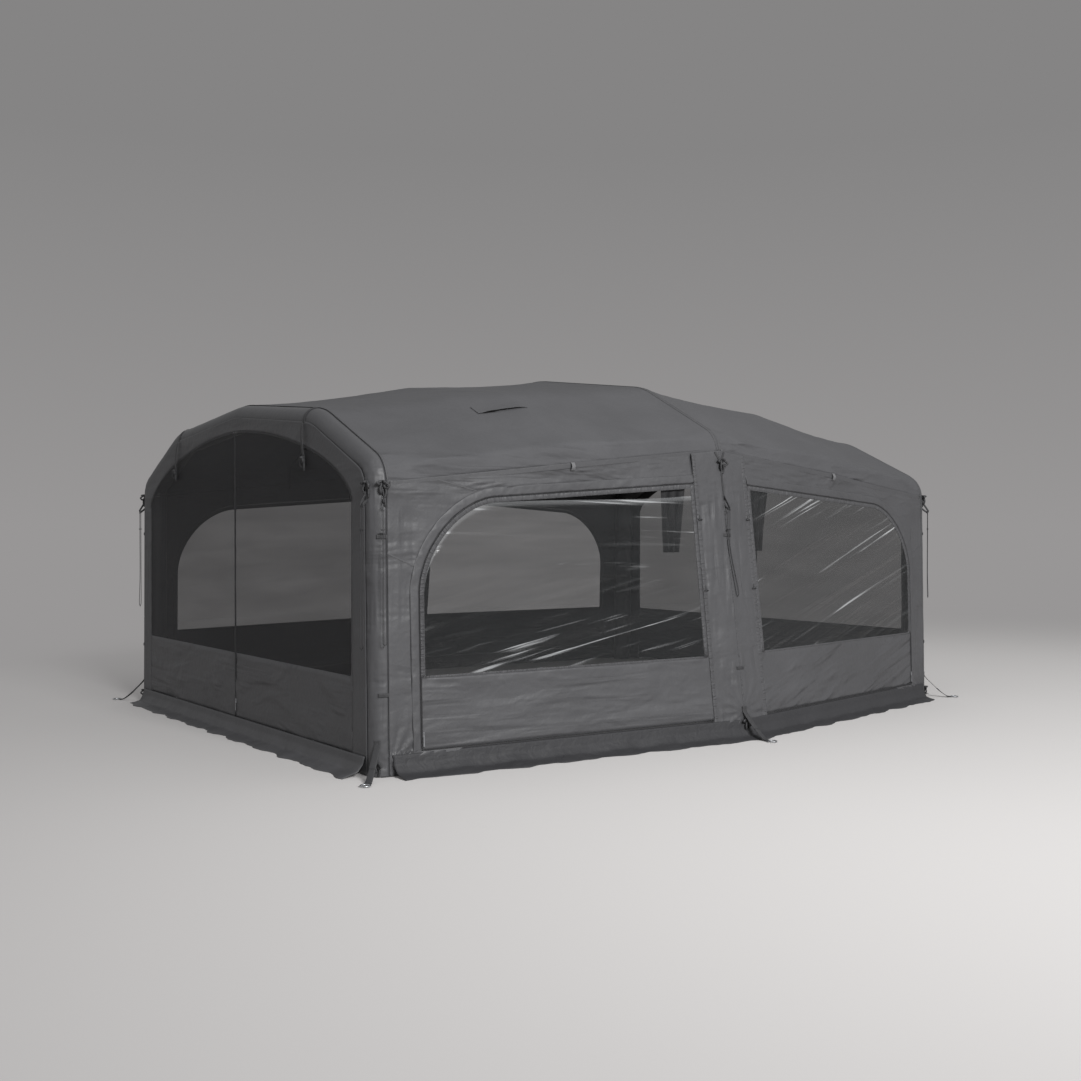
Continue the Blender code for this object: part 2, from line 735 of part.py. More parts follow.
def opening_head(from_middle, inset=0.0):
    """The height of a side opening's top edge at a distance from the middle arch."""
    arch_start = SIDE_OPENING_FAR_EDGE - SIDE_ARCH_RUN
    slope = (SIDE_HEAD_NEAR_PILLAR - SIDE_ARCH_TOP) / (arch_start - PILLAR_HALF_WIDTH)
    if from_middle <= arch_start:
        return SIDE_ARCH_TOP + slope * (arch_start - from_middle) - inset
    run = SIDE_ARCH_RUN - inset
    share = min((from_middle - arch_start) / run, 1.0)
    rise = (1 - share**SIDE_ARCH_POWER) ** (1 / SIDE_ARCH_POWER)
    return SIDE_OPENING_SPRING + (SIDE_ARCH_TOP - inset - SIDE_OPENING_SPRING) * rise


def arch_distances(inset, steps):
    """Distances from the middle arch that step evenly round the opening's arched corner."""
    arch_start = SIDE_OPENING_FAR_EDGE - SIDE_ARCH_RUN
    run = SIDE_ARCH_RUN - inset
    return [arch_start + run * sin(pi / 2 * step / steps) for step in range(steps, -1, -1)]


def side_opening(inset, sill, pillar_edge):
    """The D outline from the sill at the pillar, round the far jamb and back to the pillar."""
    far_edge = SIDE_OPENING_FAR_EDGE - inset
    outline = [
        (blend(pillar_edge, far_edge, step / SIDE_SILL_STEPS), sill)
        for step in range(SIDE_SILL_STEPS)
    ]
    outline += [
        (far_edge, blend(sill, SIDE_OPENING_SPRING, step / SIDE_JAMB_STEPS))
        for step in range(SIDE_JAMB_STEPS)
    ]
    arched = arch_distances(inset, SIDE_ARCH_STEPS)
    outline += [(distance, opening_head(distance, inset)) for distance in arched]
    straight = arched[-1]
    outline += [
        (distance, opening_head(distance, inset))
        for distance in (
            blend(straight, pillar_edge, step / SIDE_HEAD_STEPS)
            for step in range(1, SIDE_HEAD_STEPS + 1)
        )
    ]
    return outline


def frame_outer_edge(side, end, pillar_edge):
    """The frame's outer edge, point for point beside side_opening: floor, end leg, eave."""
    edge = [
        wall_point(blend(pillar_edge, BEAM_X, step / SIDE_SILL_STEPS), FLOOR_GAP, side, end)
        for step in range(SIDE_SILL_STEPS)
    ]
    edge += [
        wall_point(
            BEAM_X, blend(FLOOR_GAP, SIDE_OPENING_SPRING, step / SIDE_JAMB_STEPS), side, end
        )
        for step in range(SIDE_JAMB_STEPS)
    ]
    top = Vector((0.0, 0.0, SEAM_GAP))
    corner = eave_point(0.0, side, end) - top
    climb = SIDE_ARCH_STEPS // 2
    spring = wall_point(BEAM_X, SIDE_OPENING_SPRING, side, end)
    edge += [blend(spring, corner, step / climb) for step in range(climb)]
    arch_start = SIDE_OPENING_FAR_EDGE - SIDE_ARCH_RUN
    level = SIDE_ARCH_STEPS - climb
    stations = [blend(BEAM_X, arch_start, step / level) for step in range(level)]
    stations += [
        blend(arch_start, pillar_edge, step / SIDE_HEAD_STEPS)
        for step in range(SIDE_HEAD_STEPS + 1)
    ]
    edge += [eave_point(1 - distance / BEAM_X, side, end) - top for distance in stations]
    return edge


def header_point(from_middle, height, side, end):
    """A point of the frame's outer face over the opening."""
    head = wall_point(from_middle, opening_head(from_middle), side, end)
    eave = eave_point(1 - from_middle / BEAM_X, side, end)
    return blend(head, eave, (height - head.z) / (eave.z - head.z))


def make_wall_frame(name, side, end, material, collection):
    """Sill, corner panel and header round a side door's opening, ending at the pillar."""
    pillar_edge = PILLAR_HALF_WIDTH + FIT_GAP
    inner = [
        wall_point(distance, height, side, end)
        for distance, height in side_opening(0.0, SIDE_OPENING_SILL, pillar_edge)
    ]
    outer = frame_outer_edge(side, end, pillar_edge)
    middle = [blend(first, second, 1 / 2) for first, second in zip(inner, outer)]
    return sheet((inner, middle, outer), (0, side, 0), FABRIC, name, material, collection)


def make_pillar(name, side, materials, parts, cutters):
    """The cover strip over the middle leg, with its guy tab and its peg strap."""
    columns = (-PILLAR_HALF_WIDTH, 0.0, PILLAR_HALF_WIDTH)
    rows = []
    for row in range(PILLAR_ROWS + 1):
        line = []
        for column in columns:
            end = LEFT if column < 0 else RIGHT
            share = 1 - abs(column) / BEAM_X
            top = eave_point(share, side, end).z - SEAM_GAP
            height = blend(FLOOR_GAP, top, row / PILLAR_ROWS)
            line.append(wall_point(abs(column), height, side, end))
        rows.append(line)
    pillar = sheet(rows, (0, side, 0), FABRIC, name, materials["skin"], parts)
    azimuth = atan2(side, 0.0)
    tab_face = leg_half_width(MIDDLE_ARCH, TAB_HEIGHT) - WEBBING_BITE
    strap_face = leg_half_width(MIDDLE_ARCH, STRAP_HEIGHT) - WEBBING_BITE
    slope = MIDDLE_LEG_LEAN / MIDDLE_EAVE_HEIGHT
    middle = (0.0, 0.0)
    tab = make_tab(name + "_tab", middle, tab_face, slope, azimuth, materials["skin"], cutters)
    join_to(pillar, tab)
    strap = make_strap(
        name + "_strap", middle, strap_face, slope, azimuth, materials["skin"], cutters
    )
    join_to(pillar, strap)
    ring = make_ring(name + "_ring", middle, strap_face, azimuth, materials["metal"], cutters)
    join_to(pillar, ring)
    return pillar


def make_side_door(side, end, materials, parts, cutters):
    """A D-shaped door: fabric border and lower panel, film window, hinge at the pillar."""
    where = f"{END_NAMES[end]}_{SIDE_NAMES[side]}"
    hinge_edge = PILLAR_HALF_WIDTH + ZIP_GAP
    sill = SIDE_OPENING_SILL + ZIP_GAP
    window_edge = hinge_edge + DOOR_BORDER
    outer = side_opening(ZIP_GAP, sill, hinge_edge)
    inner = side_opening(DOOR_BORDER, LOWER_PANEL_TOP, window_edge)
    rows = [
        [wall_point(distance, height, side, end) for distance, height in outline]
        for outline in (outer, inner)
    ]
    leaf = sheet(
        rows, (0, side, 0), FABRIC, f"side_door_{where}_panel", materials["skin"], parts,
        ring=True,
    )
    window = make_window(where, side, end, window_edge, materials["film"], parts)
    slider = make_side_slider(where, side, end, materials["metal"], parts, cutters)
    foot = wall_point(hinge_edge, sill, side, end)
    hinge = hinge_empty(f"side_door_{where}_hinge", foot, parts)
    for piece in (leaf, window, slider):
        move_origin(piece, foot)
        hang_on(hinge, piece)


def make_window(where, side, end, window_edge, material, collection):
    """The clear film pane, in columns that each run from the panel to the arched head."""
    near_edge = window_edge + FIT_GAP
    inset = DOOR_BORDER + FIT_GAP
    arch_start = SIDE_OPENING_FAR_EDGE - SIDE_ARCH_RUN
    distances = [
        blend(near_edge, arch_start, step / SIDE_HEAD_STEPS) for step in range(SIDE_HEAD_STEPS)
    ]
    distances += arch_distances(inset, SIDE_ARCH_STEPS)[::-1]
    foot = LOWER_PANEL_TOP + FIT_GAP
    rows = [
        [
            wall_point(
                distance,
                blend(foot, opening_head(distance, inset), row / WINDOW_ROWS),
                side,
                end,
            )
            for distance in distances
        ]
        for row in range(WINDOW_ROWS + 1)
    ]
    return sheet(
        rows, (0, side, 0), FILM, f"side_door_{where}_window", material, collection
    )


# Zip sliders

def make_slider(name, matrix, material, collection):
    """A slider body with its pull, its back on the plane Z = 0 and its length along Y."""
    shape = bmesh.new()
    body = Matrix.Translation((0.0, 0.0, SLIDER_DEPTH / 2)) @ Matrix.Diagonal(
        (SLIDER_WIDTH, SLIDER_LENGTH, SLIDER_DEPTH, 1.0)
    )
    bmesh.ops.create_cube(shape, size=1.0, matrix=body)
    bmesh.ops.bevel(
        shape, geom=shape.edges, offset=SLIDER_EDGE, segments=1, affect="EDGES"
    )
    bmesh.ops.transform(shape, matrix=matrix, verts=shape.verts)
    slider = from_bmesh(shape, name, material, collection)
    return slider


def make_pull(name, matrix, material, cutters):
    """The pull tab that hangs from the slider's top."""
    outline = [
        (-PULL_WIDTH / 2, -PULL_LENGTH),
        (PULL_WIDTH / 2, -PULL_LENGTH),
        (PULL_WIDTH / 3, 0.0),
        (-PULL_WIDTH / 3, 0.0),
    ]
    curve = flat_curve([outline], PULL_THICKNESS / 2, name)
    lift = Matrix.Translation((0.0, 0.0, SLIDER_DEPTH - PULL_THICKNESS / 4))
    return mesh_from_curve(curve, matrix @ lift, name, material, cutters)


def slider_matrix(point, outward, along_zip):
    """A frame with its Y along the zip and its Z outwards."""
    across = along_zip.cross(outward).normalized()
    basis = Matrix((across, along_zip, outward)).transposed().to_4x4()
    return Matrix.Translation(point + outward * CLOTH_GAP) @ basis


def make_side_slider(where, side, end, material, parts, cutters):
    from_middle = SIDE_OPENING_FAR_EDGE - ZIP_GAP - SLIDER_WIDTH
    foot = wall_point(from_middle, SIDE_SLIDER_HEIGHT, side, end)
    outward = wall_normal(from_middle, SIDE_SLIDER_HEIGHT, side, end)
    along_zip = (wall_point(from_middle, SIDE_OPENING_SPRING, side, end) - foot).normalized()
    matrix = slider_matrix(foot, outward, along_zip)
    slider = make_slider(f"zip_slider_side_{where}", matrix, material, parts)
    pull = make_pull(f"zip_pull_side_{where}", matrix, material, cutters)
    join_to(slider, pull)
    move_origin(pull, wall_point(PILLAR_HALF_WIDTH + ZIP_GAP, SIDE_OPENING_SILL + ZIP_GAP,
                                 side, end))
    return slider


# End frames and doors

def end_head(across, inset=0.0):
    """The height of an end opening's edge at a distance from the middle of the end."""
    half_width = END_OPENING_HALF_WIDTH - inset
    share = min(abs(across) / half_width, 1.0)
    rise = (1 - share**END_ARCH_POWER) ** (1 / END_ARCH_POWER)
    return END_OPENING_SPRING + (END_OPENING_CROWN - inset - END_OPENING_SPRING) * rise


def half_end_opening(inset, sill, middle_edge):
    """Half the opening's outline, from its sill in the middle round to its crown."""
    half_width = END_OPENING_HALF_WIDTH - inset
    start = asin(middle_edge / half_width)
    outline = [(middle_edge, sill), (half_width, sill)]
    for step in range(END_ARCH_STEPS + 1):
        angle = blend(pi / 2, start, step / END_ARCH_STEPS)
        across = half_width * sin(angle)
        outline.append((across, end_head(across, inset)))
    return outline


def stand_on_end(end, depth):
    """Stands a flat outline up across the tent, its outer face on an end's outer plane."""
    x = end * (BAY_LENGTH - depth / 2)
    return Matrix.Translation((x, 0.0, 0.0)) @ Euler((pi / 2, 0.0, pi / 2)).to_matrix().to_4x4()


def make_end_frame(name, end, material, collection):
    """The band between the end arch and its door opening, down both legs to the floor."""
    band = [point - normal * BEAM_INSET for point, normal in arch_outline(END_ARCH)]
    outer = [(band[0].x, FLOOR_GAP)]
    outer += [(point.x, point.y) for point in band[1:-1]]
    outer.append((band[-1].x, FLOOR_GAP))
    half = half_end_opening(0.0, END_OPENING_SILL, 0.0)[1:]
    inner = [(-across, height) for across, height in half]
    inner += [(across, height) for across, height in reversed(half[:-1])]
    inner[0] = (inner[0][0], FLOOR_GAP)
    inner[-1] = (inner[-1][0], FLOOR_GAP)
    curve = flat_curve([outer + inner], FABRIC / 2, name)
    return mesh_from_curve(curve, stand_on_end(end, FABRIC), name, material, collection)


def make_end_door(side, end, materials, parts, cutters):
    """One leaf of an end door: fabric border and lower panel, mesh pane, hinge at the jamb."""
    where = f"{END_NAMES[end]}_{SIDE_NAMES[side]}"
    sill = END_OPENING_SILL + ZIP_GAP
    outer = half_end_opening(ZIP_GAP, sill, ZIP_GAP / 2)
    window = half_end_opening(DOOR_BORDER, LOWER_PANEL_TOP, DOOR_BORDER)
    inset = DOOR_BORDER + FIT_GAP
    pane = half_end_opening(inset, LOWER_PANEL_TOP + FIT_GAP, inset)
    mirror = Matrix.Diagonal((1.0, side, 1.0, 1.0))
    leaf = mesh_from_curve(
        flat_curve([outer, window], FABRIC / 2, "leaf"),
        mirror @ stand_on_end(end, FABRIC),
        f"end_door_{where}_panel", materials["skin"], parts,
    )
    mesh = mesh_from_curve(
        flat_curve([pane], FILM / 2, "pane"),
        mirror @ stand_on_end(end, FILM),
        f"end_door_{where}_mesh", materials["mesh"], parts,
    )
    pieces = [leaf, mesh]
    jamb = Vector(
        (end * BAY_LENGTH, side * (END_OPENING_HALF_WIDTH - ZIP_GAP), sill)
    )
    if side == NEAR:
        pieces.append(make_end_slider(end, jamb, materials["metal"], parts, cutters))
    hinge = hinge_empty(f"end_door_{where}_hinge", jamb, parts)
    for piece in pieces:
        move_origin(piece, jamb)
        hang_on(hinge, piece)


def make_end_slider(end, jamb, material, parts, cutters):
    """The slider of an end door's middle zip, on the near leaf's edge."""
    across = -ZIP_GAP / 2 - SLIDER_WIDTH
    foot = Vector((end * BAY_LENGTH, across, END_SLIDER_HEIGHT))
    matrix = slider_matrix(foot, Vector((end, 0.0, 0.0)), Vector((0.0, 0.0, 1.0)))
    name = END_NAMES[end]
    slider = make_slider(f"zip_slider_end_{name}", matrix, material, parts)
    pull = make_pull(f"zip_pull_end_{name}", matrix, material, cutters)
    join_to(slider, pull)
    move_origin(pull, jamb)
    return slider


# Skirts

def skirt_rows(line, outward, lift):
    """Rows of a skirt from a line of (foot, distance) places along a wall, with its folds."""
    rows = []
    for reach_share, height_share in SKIRT_SECTION_SHARES:
        row = []
        for (foot, distance), normal in zip(line, outward):
            wave = sin(2 * pi * distance / SKIRT_FOLD_LENGTH)
            wave += sin(2 * pi * distance / SKIRT_FOLD_LENGTH * sqrt(2)) / 2
            fold = SKIRT_FOLD_DEPTH * wave * reach_share
            ripple = SKIRT_FOLD_DEPTH * (1 + wave / 2) / 2 * sin(pi * reach_share)
            reach = SKIRT_REACH * reach_share + lift + fold
            height = FABRIC + (SKIRT_HEIGHT - FABRIC) * height_share + ripple
            row.append(Vector((foot.x + normal.x * reach, foot.y + normal.y * reach, height)))
        rows.append(row)
    return rows


def make_side_skirt(name, side, material, collection):
    """The skirt along one side, over both bays and round the middle leg's foot."""
    reach = BEAM_X + BEAM_INSET - SKIRT_CORNER_INSET
    columns = 2 * round(reach / SKIRT_COLUMN_LENGTH)
    line, outward = [], []
    for column in range(columns + 1):
        x = blend(-reach, reach, column / columns)
        end = LEFT if x < 0 else RIGHT
        line.append((wall_point(abs(x), SKIRT_HEIGHT, side, end), x))
        outward.append(Vector((0.0, side)))
    rows = skirt_rows(line, outward, FABRIC + CLOTH_GAP)
    return sheet(rows, (0, side, 1), FABRIC, name, material, collection)


def make_end_skirt(name, end, material, collection):
    """The skirt under an end door, from leg to leg."""
    reach = END_BASE_WIDTH / 2 - SKIRT_CORNER_INSET
    columns = round(2 * reach / SKIRT_COLUMN_LENGTH)
    line = [
        (Vector((end * BAY_LENGTH, blend(-reach, reach, column / columns), 0.0)),
         blend(-reach, reach, column / columns))
        for column in range(columns + 1)
    ]
    outward = [Vector((end, 0.0))] * len(line)
    rows = skirt_rows(line, outward, FABRIC + FIT_GAP)
    for point in rows[0]:
        point.z = END_OPENING_SILL - SEAM_GAP
    return sheet(rows, (end, 0, 1), FABRIC, name, material, collection)


# Webbing

def radial_matrix(leg, azimuth):
    """Stands a flat outline up in the upright plane through a leg at an azimuth."""
    turn = Euler((pi / 2, 0.0, azimuth)).to_matrix().to_4x4()
    return Matrix.Translation((*leg, 0.0)) @ turn


def make_tab(name, leg, face, slope, azimuth, material, collection):
    """A folded webbing triangle with an eye, its root in the fabric of a leg that slopes."""
    tip = face + TAB_REACH
    foot = TAB_HEIGHT - TAB_DROP
    outline = [
        (face - slope * TAB_ROOT / 2, TAB_HEIGHT + TAB_ROOT / 2),
        (face + slope * TAB_ROOT / 2, TAB_HEIGHT - TAB_ROOT / 2),
        (tip - TAB_TIP, foot - TAB_TIP),
        (tip, foot - TAB_TIP),
        (tip + TAB_TIP, foot),
        (tip, foot + TAB_TIP),
    ]
    eye = circle(TAB_HOLE_RADIUS, HOLE_SIDES, (tip, foot))[::-1]
    curve = flat_curve([outline, eye], WEBBING / 2, name)
    return mesh_from_curve(curve, radial_matrix(leg, azimuth), name, material, collection)


def strap_ring_radius(face):
    """How far from the leg's middle the ring at the strap's end lies."""
    return face + STRAP_REACH + RING_RADIUS


def make_strap(name, leg, face, slope, azimuth, material, collection):
    """A webbing strap that runs down from the leg and lies on the floor at its end."""
    upper = [
        (face, STRAP_HEIGHT),
        (face + STRAP_STAND_OUT / 3, STRAP_HEIGHT * 3 / 4),
        (face + STRAP_STAND_OUT, STRAP_HEIGHT * 2 / 5),
        (face + STRAP_FLOOR_START, WEBBING + FIT_GAP * 2),
        (face + STRAP_REACH + RING_WIRE_RADIUS, WEBBING + FIT_GAP * 2),
    ]
    lower = [
        (upper[4][0], FIT_GAP * 2),
        (upper[3][0] - WEBBING / 2, FIT_GAP * 2),
        (upper[2][0] - WEBBING, upper[2][1] - WEBBING / 2),
        (upper[1][0] - WEBBING, upper[1][1] - WEBBING),
        (face + slope * WEBBING * 2, STRAP_HEIGHT - WEBBING * 2),
    ]
    curve = flat_curve([upper + lower], STRAP_WIDTH / 2, name)
    return mesh_from_curve(curve, radial_matrix(leg, azimuth), name, material, collection)


def make_ring(name, leg, face, azimuth, material, collection):
    """The round peg ring held in the strap's end, lying on the floor."""
    distance = strap_ring_radius(face)
    centre = Vector((leg[0] + distance * cos(azimuth), leg[1] + distance * sin(azimuth),
                     RING_WIRE_RADIUS + FIT_GAP))
    bpy.ops.mesh.primitive_torus_add(
        location=centre,
        rotation=(0.0, 0.0, azimuth),
        major_radius=RING_RADIUS,
        minor_radius=RING_WIRE_RADIUS,
        major_segments=RING_SIDES,
        minor_segments=RING_WIRE_SIDES,
    )
    ring = bpy.context.active_object
    ring.name = name
    ring.data.materials.append(material)
    for holder in list(ring.users_collection):
        holder.objects.unlink(ring)
    collection.objects.link(ring)
    return ring


def corner_leg(side, end, height):
    """The middle of an end leg's tube at a height."""
    return (end * BEAM_X, side * (leg_half_width(END_ARCH, height) - BEAM_INSET))


def corner_azimuth(side, end, from_side):
    """The direction out of a corner, an angle away from straight across the tent."""
    return atan2(side * cos(from_side), end * sin(from_side))


def dress_sleeve(sleeve, end, materials, cutters):
    """Joins an end sleeve's guy tabs, peg straps and rings to it."""
    face = FLAT_RADIUS - WEBBING_BITE
    slope = END_LEG_LEAN / END_EAVE_HEIGHT
    for side in (NEAR, FAR):
        where = f"{END_NAMES[end]}_{SIDE_NAMES[side]}"
        for number, angle in enumerate(TAB_ANGLES[side, end]):
            azimuth = corner_azimuth(side, end, angle)
            leg = corner_leg(side, end, TAB_HEIGHT)
            tab = make_tab(
                f"tab_{where}_{number}", leg, face, slope, azimuth, materials["skin"], cutters
            )
            join_to(sleeve, tab)
        azimuth = corner_azimuth(side, end, CORNER_DIAGONAL)
        leg = corner_leg(side, end, STRAP_HEIGHT)
        strap = make_strap(
            f"strap_{where}", leg, face, slope, azimuth, materials["skin"], cutters
        )
        join_to(sleeve, strap)
        ring = make_ring(f"ring_{where}", leg, face, azimuth, materials["metal"], cutters)
        join_to(sleeve, ring)


# Curtain tails

def make_curtain_tail(name, end, material, collection):
    """A gathered end of curtain, hung behind the header beside the near pillar."""
    rows = []
    start = PILLAR_HALF_WIDTH + TAIL_FROM_PILLAR
    for row in range(TAIL_ROWS + 1):
        fall = row / TAIL_ROWS
        width = blend(TAIL_WIDTH, TAIL_FOOT_WIDTH, fall)
        line = []
        for column in range(TAIL_COLUMNS + 1):
            across = column / TAIL_COLUMNS
            from_middle = start + (TAIL_WIDTH - width) / 2 + width * across
            top = header_point(from_middle, TAIL_TOP, NEAR, end)
            fold = TAIL_FOLD * (1 - cos(2 * pi * TAIL_FOLDS * across)) * fall
            inwards = FABRIC + CLOTH_GAP + fold
            line.append(Vector((top.x, top.y + inwards, blend(TAIL_TOP, TAIL_BOTTOM, fall))))
        rows.append(line)
    return sheet(rows, (0, NEAR, 0), TAIL_THICKNESS, name, material, collection)


# Guy lines and runners

def smooth_route(points, spacing):
    """A Catmull-Rom curve through the route's points, read at about even spacing."""
    ends = [points[0] * 2 - points[1], *points, points[-1] * 2 - points[-2]]
    found = []
    for before, start, stop, after in zip(ends, ends[1:], ends[2:], ends[3:]):
        steps = max(1, round((stop - start).length / spacing))
        for step in range(steps):
            t = step / steps
            found.append(
                (start * 2 + (stop - before) * t
                 + (before * 2 - start * 5 + stop * 4 - after) * t**2
                 + (start * 3 - before - stop * 3 + after) * t**3) / 2
            )
    return found + [points[-1]]


def line_frame(name):
    """The place under a tab's tip where its line starts, and the along and outward axes."""
    side, end, angle = LINE_PLACES[name]
    if end:
        azimuth = corner_azimuth(side, end, angle)
        leg = corner_leg(side, end, TAB_HEIGHT)
        face = FLAT_RADIUS - WEBBING_BITE
    else:
        azimuth = atan2(side, 0.0)
        leg = (0.0, 0.0)
        face = leg_half_width(MIDDLE_ARCH, TAB_HEIGHT) - WEBBING_BITE
    outward = Vector((cos(azimuth), sin(azimuth), 0.0))
    along = Vector((0.0, 0.0, 1.0)).cross(outward)
    height = TAB_HEIGHT - TAB_DROP - TAB_TIP - FIT_GAP
    start = Vector((*leg, height)) + outward * (face + TAB_REACH)
    return start, along, outward


def make_guy_line(name, materials, collection):
    """One folded guy line hanging from its tab in two strands."""
    start, along, outward = line_frame(name)
    route = [
        start + along * across + outward * out + Vector((0.0, 0.0, up))
        for across, out, up in LINE_ROUTES[name]
    ]
    curve = bpy.data.curves.new(name, "CURVE")
    curve.dimensions = "3D"
    curve.bevel_depth = CORD_RADIUS
    curve.bevel_resolution = 2
    curve.use_fill_caps = True
    points = smooth_route(route, CORD_SPACING)
    spline = curve.splines.new("POLY")
    spline.points.add(len(points) - 1)
    for point, where in zip(spline.points, points):
        point.co = (*where, 1.0)
    return place(curve, "guy_line_" + name, materials["cord"], collection)


def make_runner(name, materials, collection):
    """The flat runner that both strands pass through."""
    start, along, outward = line_frame(name)
    outline = circle(RUNNER_DEPTH / 2, HOLE_SIDES)
    half_run = (RUNNER_WIDTH - RUNNER_DEPTH) / 2
    outline = [(x + (half_run if x > 0 else -half_run), y) for x, y in outline]
    holes = [
        circle(RUNNER_HOLE_RADIUS, HOLE_SIDES, (side * STRAND_SPREAD, 0.0))[::-1]
        for side in (-1, 1)
    ]
    curve = flat_curve([outline, *holes], RUNNER_THICKNESS / 2, name)
    basis = Matrix((along, outward, Vector((0.0, 0.0, 1.0)))).transposed().to_4x4()
    centre = start - Vector((0.0, 0.0, RUNNER_DROP))
    matrix = Matrix.Translation(centre) @ basis
    runner = mesh_from_curve(
        curve, matrix, "guy_runner_" + name, materials["plastic"], collection
    )
    move_origin(runner, centre)
    return runner


# Assembly

def make_beams(materials, parts, cutters):
    stands = {"left": (END_ARCH, -BEAM_X), "middle": (MIDDLE_ARCH, 0.0), "right": (END_ARCH, BEAM_X)}
    for name, (arch, beam_x) in stands.items():
        bladder = make_bladder(f"air_bladder_{name}", arch, beam_x, materials["bladder"], parts)
        sleeve = make_sleeve(f"beam_sleeve_{name}", arch, beam_x, materials["sleeve"], parts)
        make_valve(
            f"valve_cap_{name}", arch, beam_x, bladder, sleeve, materials, parts, cutters
        )
        if beam_x:
            dress_sleeve(sleeve, LEFT if beam_x < 0 else RIGHT, materials, cutters)


def make_roof(materials, parts, cutters):
    canopies = {}
    for end, name in END_NAMES.items():
        canopies[end] = make_canopy(f"canopy_{name}", end, materials["skin"], parts)
        make_roof_pole(f"roof_pole_{name}", end, materials["pole"], parts)
    make_vent(LEFT, canopies[LEFT], materials, parts, cutters)


def make_walls(materials, parts, cutters):
    for side, side_name in SIDE_NAMES.items():
        make_pillar(f"middle_pillar_{side_name}", side, materials, parts, cutters)
        make_side_skirt(f"skirt_{side_name}", side, materials["skin"], parts)
        for end, end_name in END_NAMES.items():
            make_wall_frame(
                f"wall_frame_{end_name}_{side_name}", side, end, materials["skin"], parts
            )
            make_side_door(side, end, materials, parts, cutters)


def make_ends(materials, parts, cutters):
    for end, end_name in END_NAMES.items():
        make_end_frame(f"end_frame_{end_name}", end, materials["skin"], parts)
        make_end_skirt(f"skirt_{end_name}", end, materials["skin"], parts)
        make_curtain_tail(f"curtain_tail_{end_name}", end, materials["curtain"], parts)
        for side in SIDE_NAMES:
            make_end_door(side, end, materials, parts, cutters)


def make_lines(materials, parts):
    for name in LINE_ROUTES:
        make_guy_line(name, materials, parts)
        make_runner(name, materials, parts)


def main():
    clear_scene()
    parts = make_collection("inflatable_tent")
    cutters = make_collection("cutters")
    materials = make_materials()
    make_beams(materials, parts, cutters)
    make_roof(materials, parts, cutters)
    make_walls(materials, parts, cutters)
    make_ends(materials, parts, cutters)
    make_lines(materials, parts)


if __name__ == "__main__":
    main()
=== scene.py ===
"""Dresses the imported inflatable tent: sewn cloth, window film, insect mesh, webbing and cords."""

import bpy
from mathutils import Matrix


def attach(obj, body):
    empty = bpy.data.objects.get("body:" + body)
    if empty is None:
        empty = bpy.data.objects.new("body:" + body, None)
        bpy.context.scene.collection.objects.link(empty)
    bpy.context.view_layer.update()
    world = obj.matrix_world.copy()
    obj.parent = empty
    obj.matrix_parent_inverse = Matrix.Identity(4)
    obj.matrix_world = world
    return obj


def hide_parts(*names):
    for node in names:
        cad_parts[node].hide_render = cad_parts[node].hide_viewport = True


bl_info = {
    "name": "Inflatable tent dressing",
    "version": (1, 0, 0),
    "blender": (4, 5, 0),
    "location": "3D View > Sidebar > Tent",
    "description": "Sewn cloth, window film, mesh, webbing and cords for a two-bay inflatable tent",
    "category": "Add Mesh",
}

from collections import namedtuple
from math import asin, atan2, cos, exp, hypot, pi, radians, sin, sqrt, tan

import bmesh
import bpy
from mathutils import Matrix, Vector, noise

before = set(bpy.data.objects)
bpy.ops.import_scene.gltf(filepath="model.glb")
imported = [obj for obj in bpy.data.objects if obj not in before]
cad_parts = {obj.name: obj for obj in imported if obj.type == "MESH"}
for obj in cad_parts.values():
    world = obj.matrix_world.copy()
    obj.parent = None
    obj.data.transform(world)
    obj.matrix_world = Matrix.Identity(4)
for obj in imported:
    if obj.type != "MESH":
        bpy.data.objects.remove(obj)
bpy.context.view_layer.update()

# Sizes of the tent, in metres, as in the part's own source
BAY_LENGTH = 2.39
FABRIC = 0.003
FIT_GAP = 0.0003
CLOTH_GAP = 0.0009
ZIP_GAP = 0.0008
SEAM_GAP = 0.0015
FLOOR_GAP = 0.003
SLEEVE_RADIUS = 0.08
BEAM_SIDES = 12
EAVE_BEND_RADIUS = 0.19
SHOULDER_BEND_RADIUS = 0.5
RIDGE_BEND_RADIUS = 0.8
CLOTH_BEND_RADIUS = 0.03
EAVE_DRAW_LENGTH = 0.28
BEAM_INSET = FABRIC + FIT_GAP + SLEEVE_RADIUS
BEAM_X = BAY_LENGTH - BEAM_INSET
BLADDER_RADIUS = SLEEVE_RADIUS - FABRIC - 0.0005
FLAT_RADIUS = SLEEVE_RADIUS * cos(pi / BEAM_SIDES)
VALVE_HEIGHT = 0.32
VALVE_NECK_RADIUS = 0.018
VALVE_NECK_STAND_OUT = 0.016

ROOF_POLE_LIFT = 0.03
ROOF_SAG = 0.018
VENT_LENGTH = 0.3
VENT_SLOT = 0.045
VENT_SLOPE_SHARE = 0.78
VENT_BAY_SHARE = 0.44
VENT_FLAP_LENGTH = 0.34
VENT_FLAP_WIDTH = 0.1

PILLAR_HALF_WIDTH = 0.235
SIDE_OPENING_FAR_EDGE = 2.13
SIDE_OPENING_SILL = 0.12
SIDE_OPENING_SPRING = 0.94
SIDE_ARCH_RUN = 0.5
SIDE_ARCH_TOP = 1.45
SIDE_HEAD_NEAR_PILLAR = 1.55
SIDE_ARCH_POWER = 1.8
DOOR_BORDER = 0.03
LOWER_PANEL_TOP = 0.5
END_OPENING_HALF_WIDTH = 1.5
END_OPENING_SILL = 0.09
END_OPENING_SPRING = 1.42
END_OPENING_CROWN = 1.88
END_ARCH_POWER = 1.7

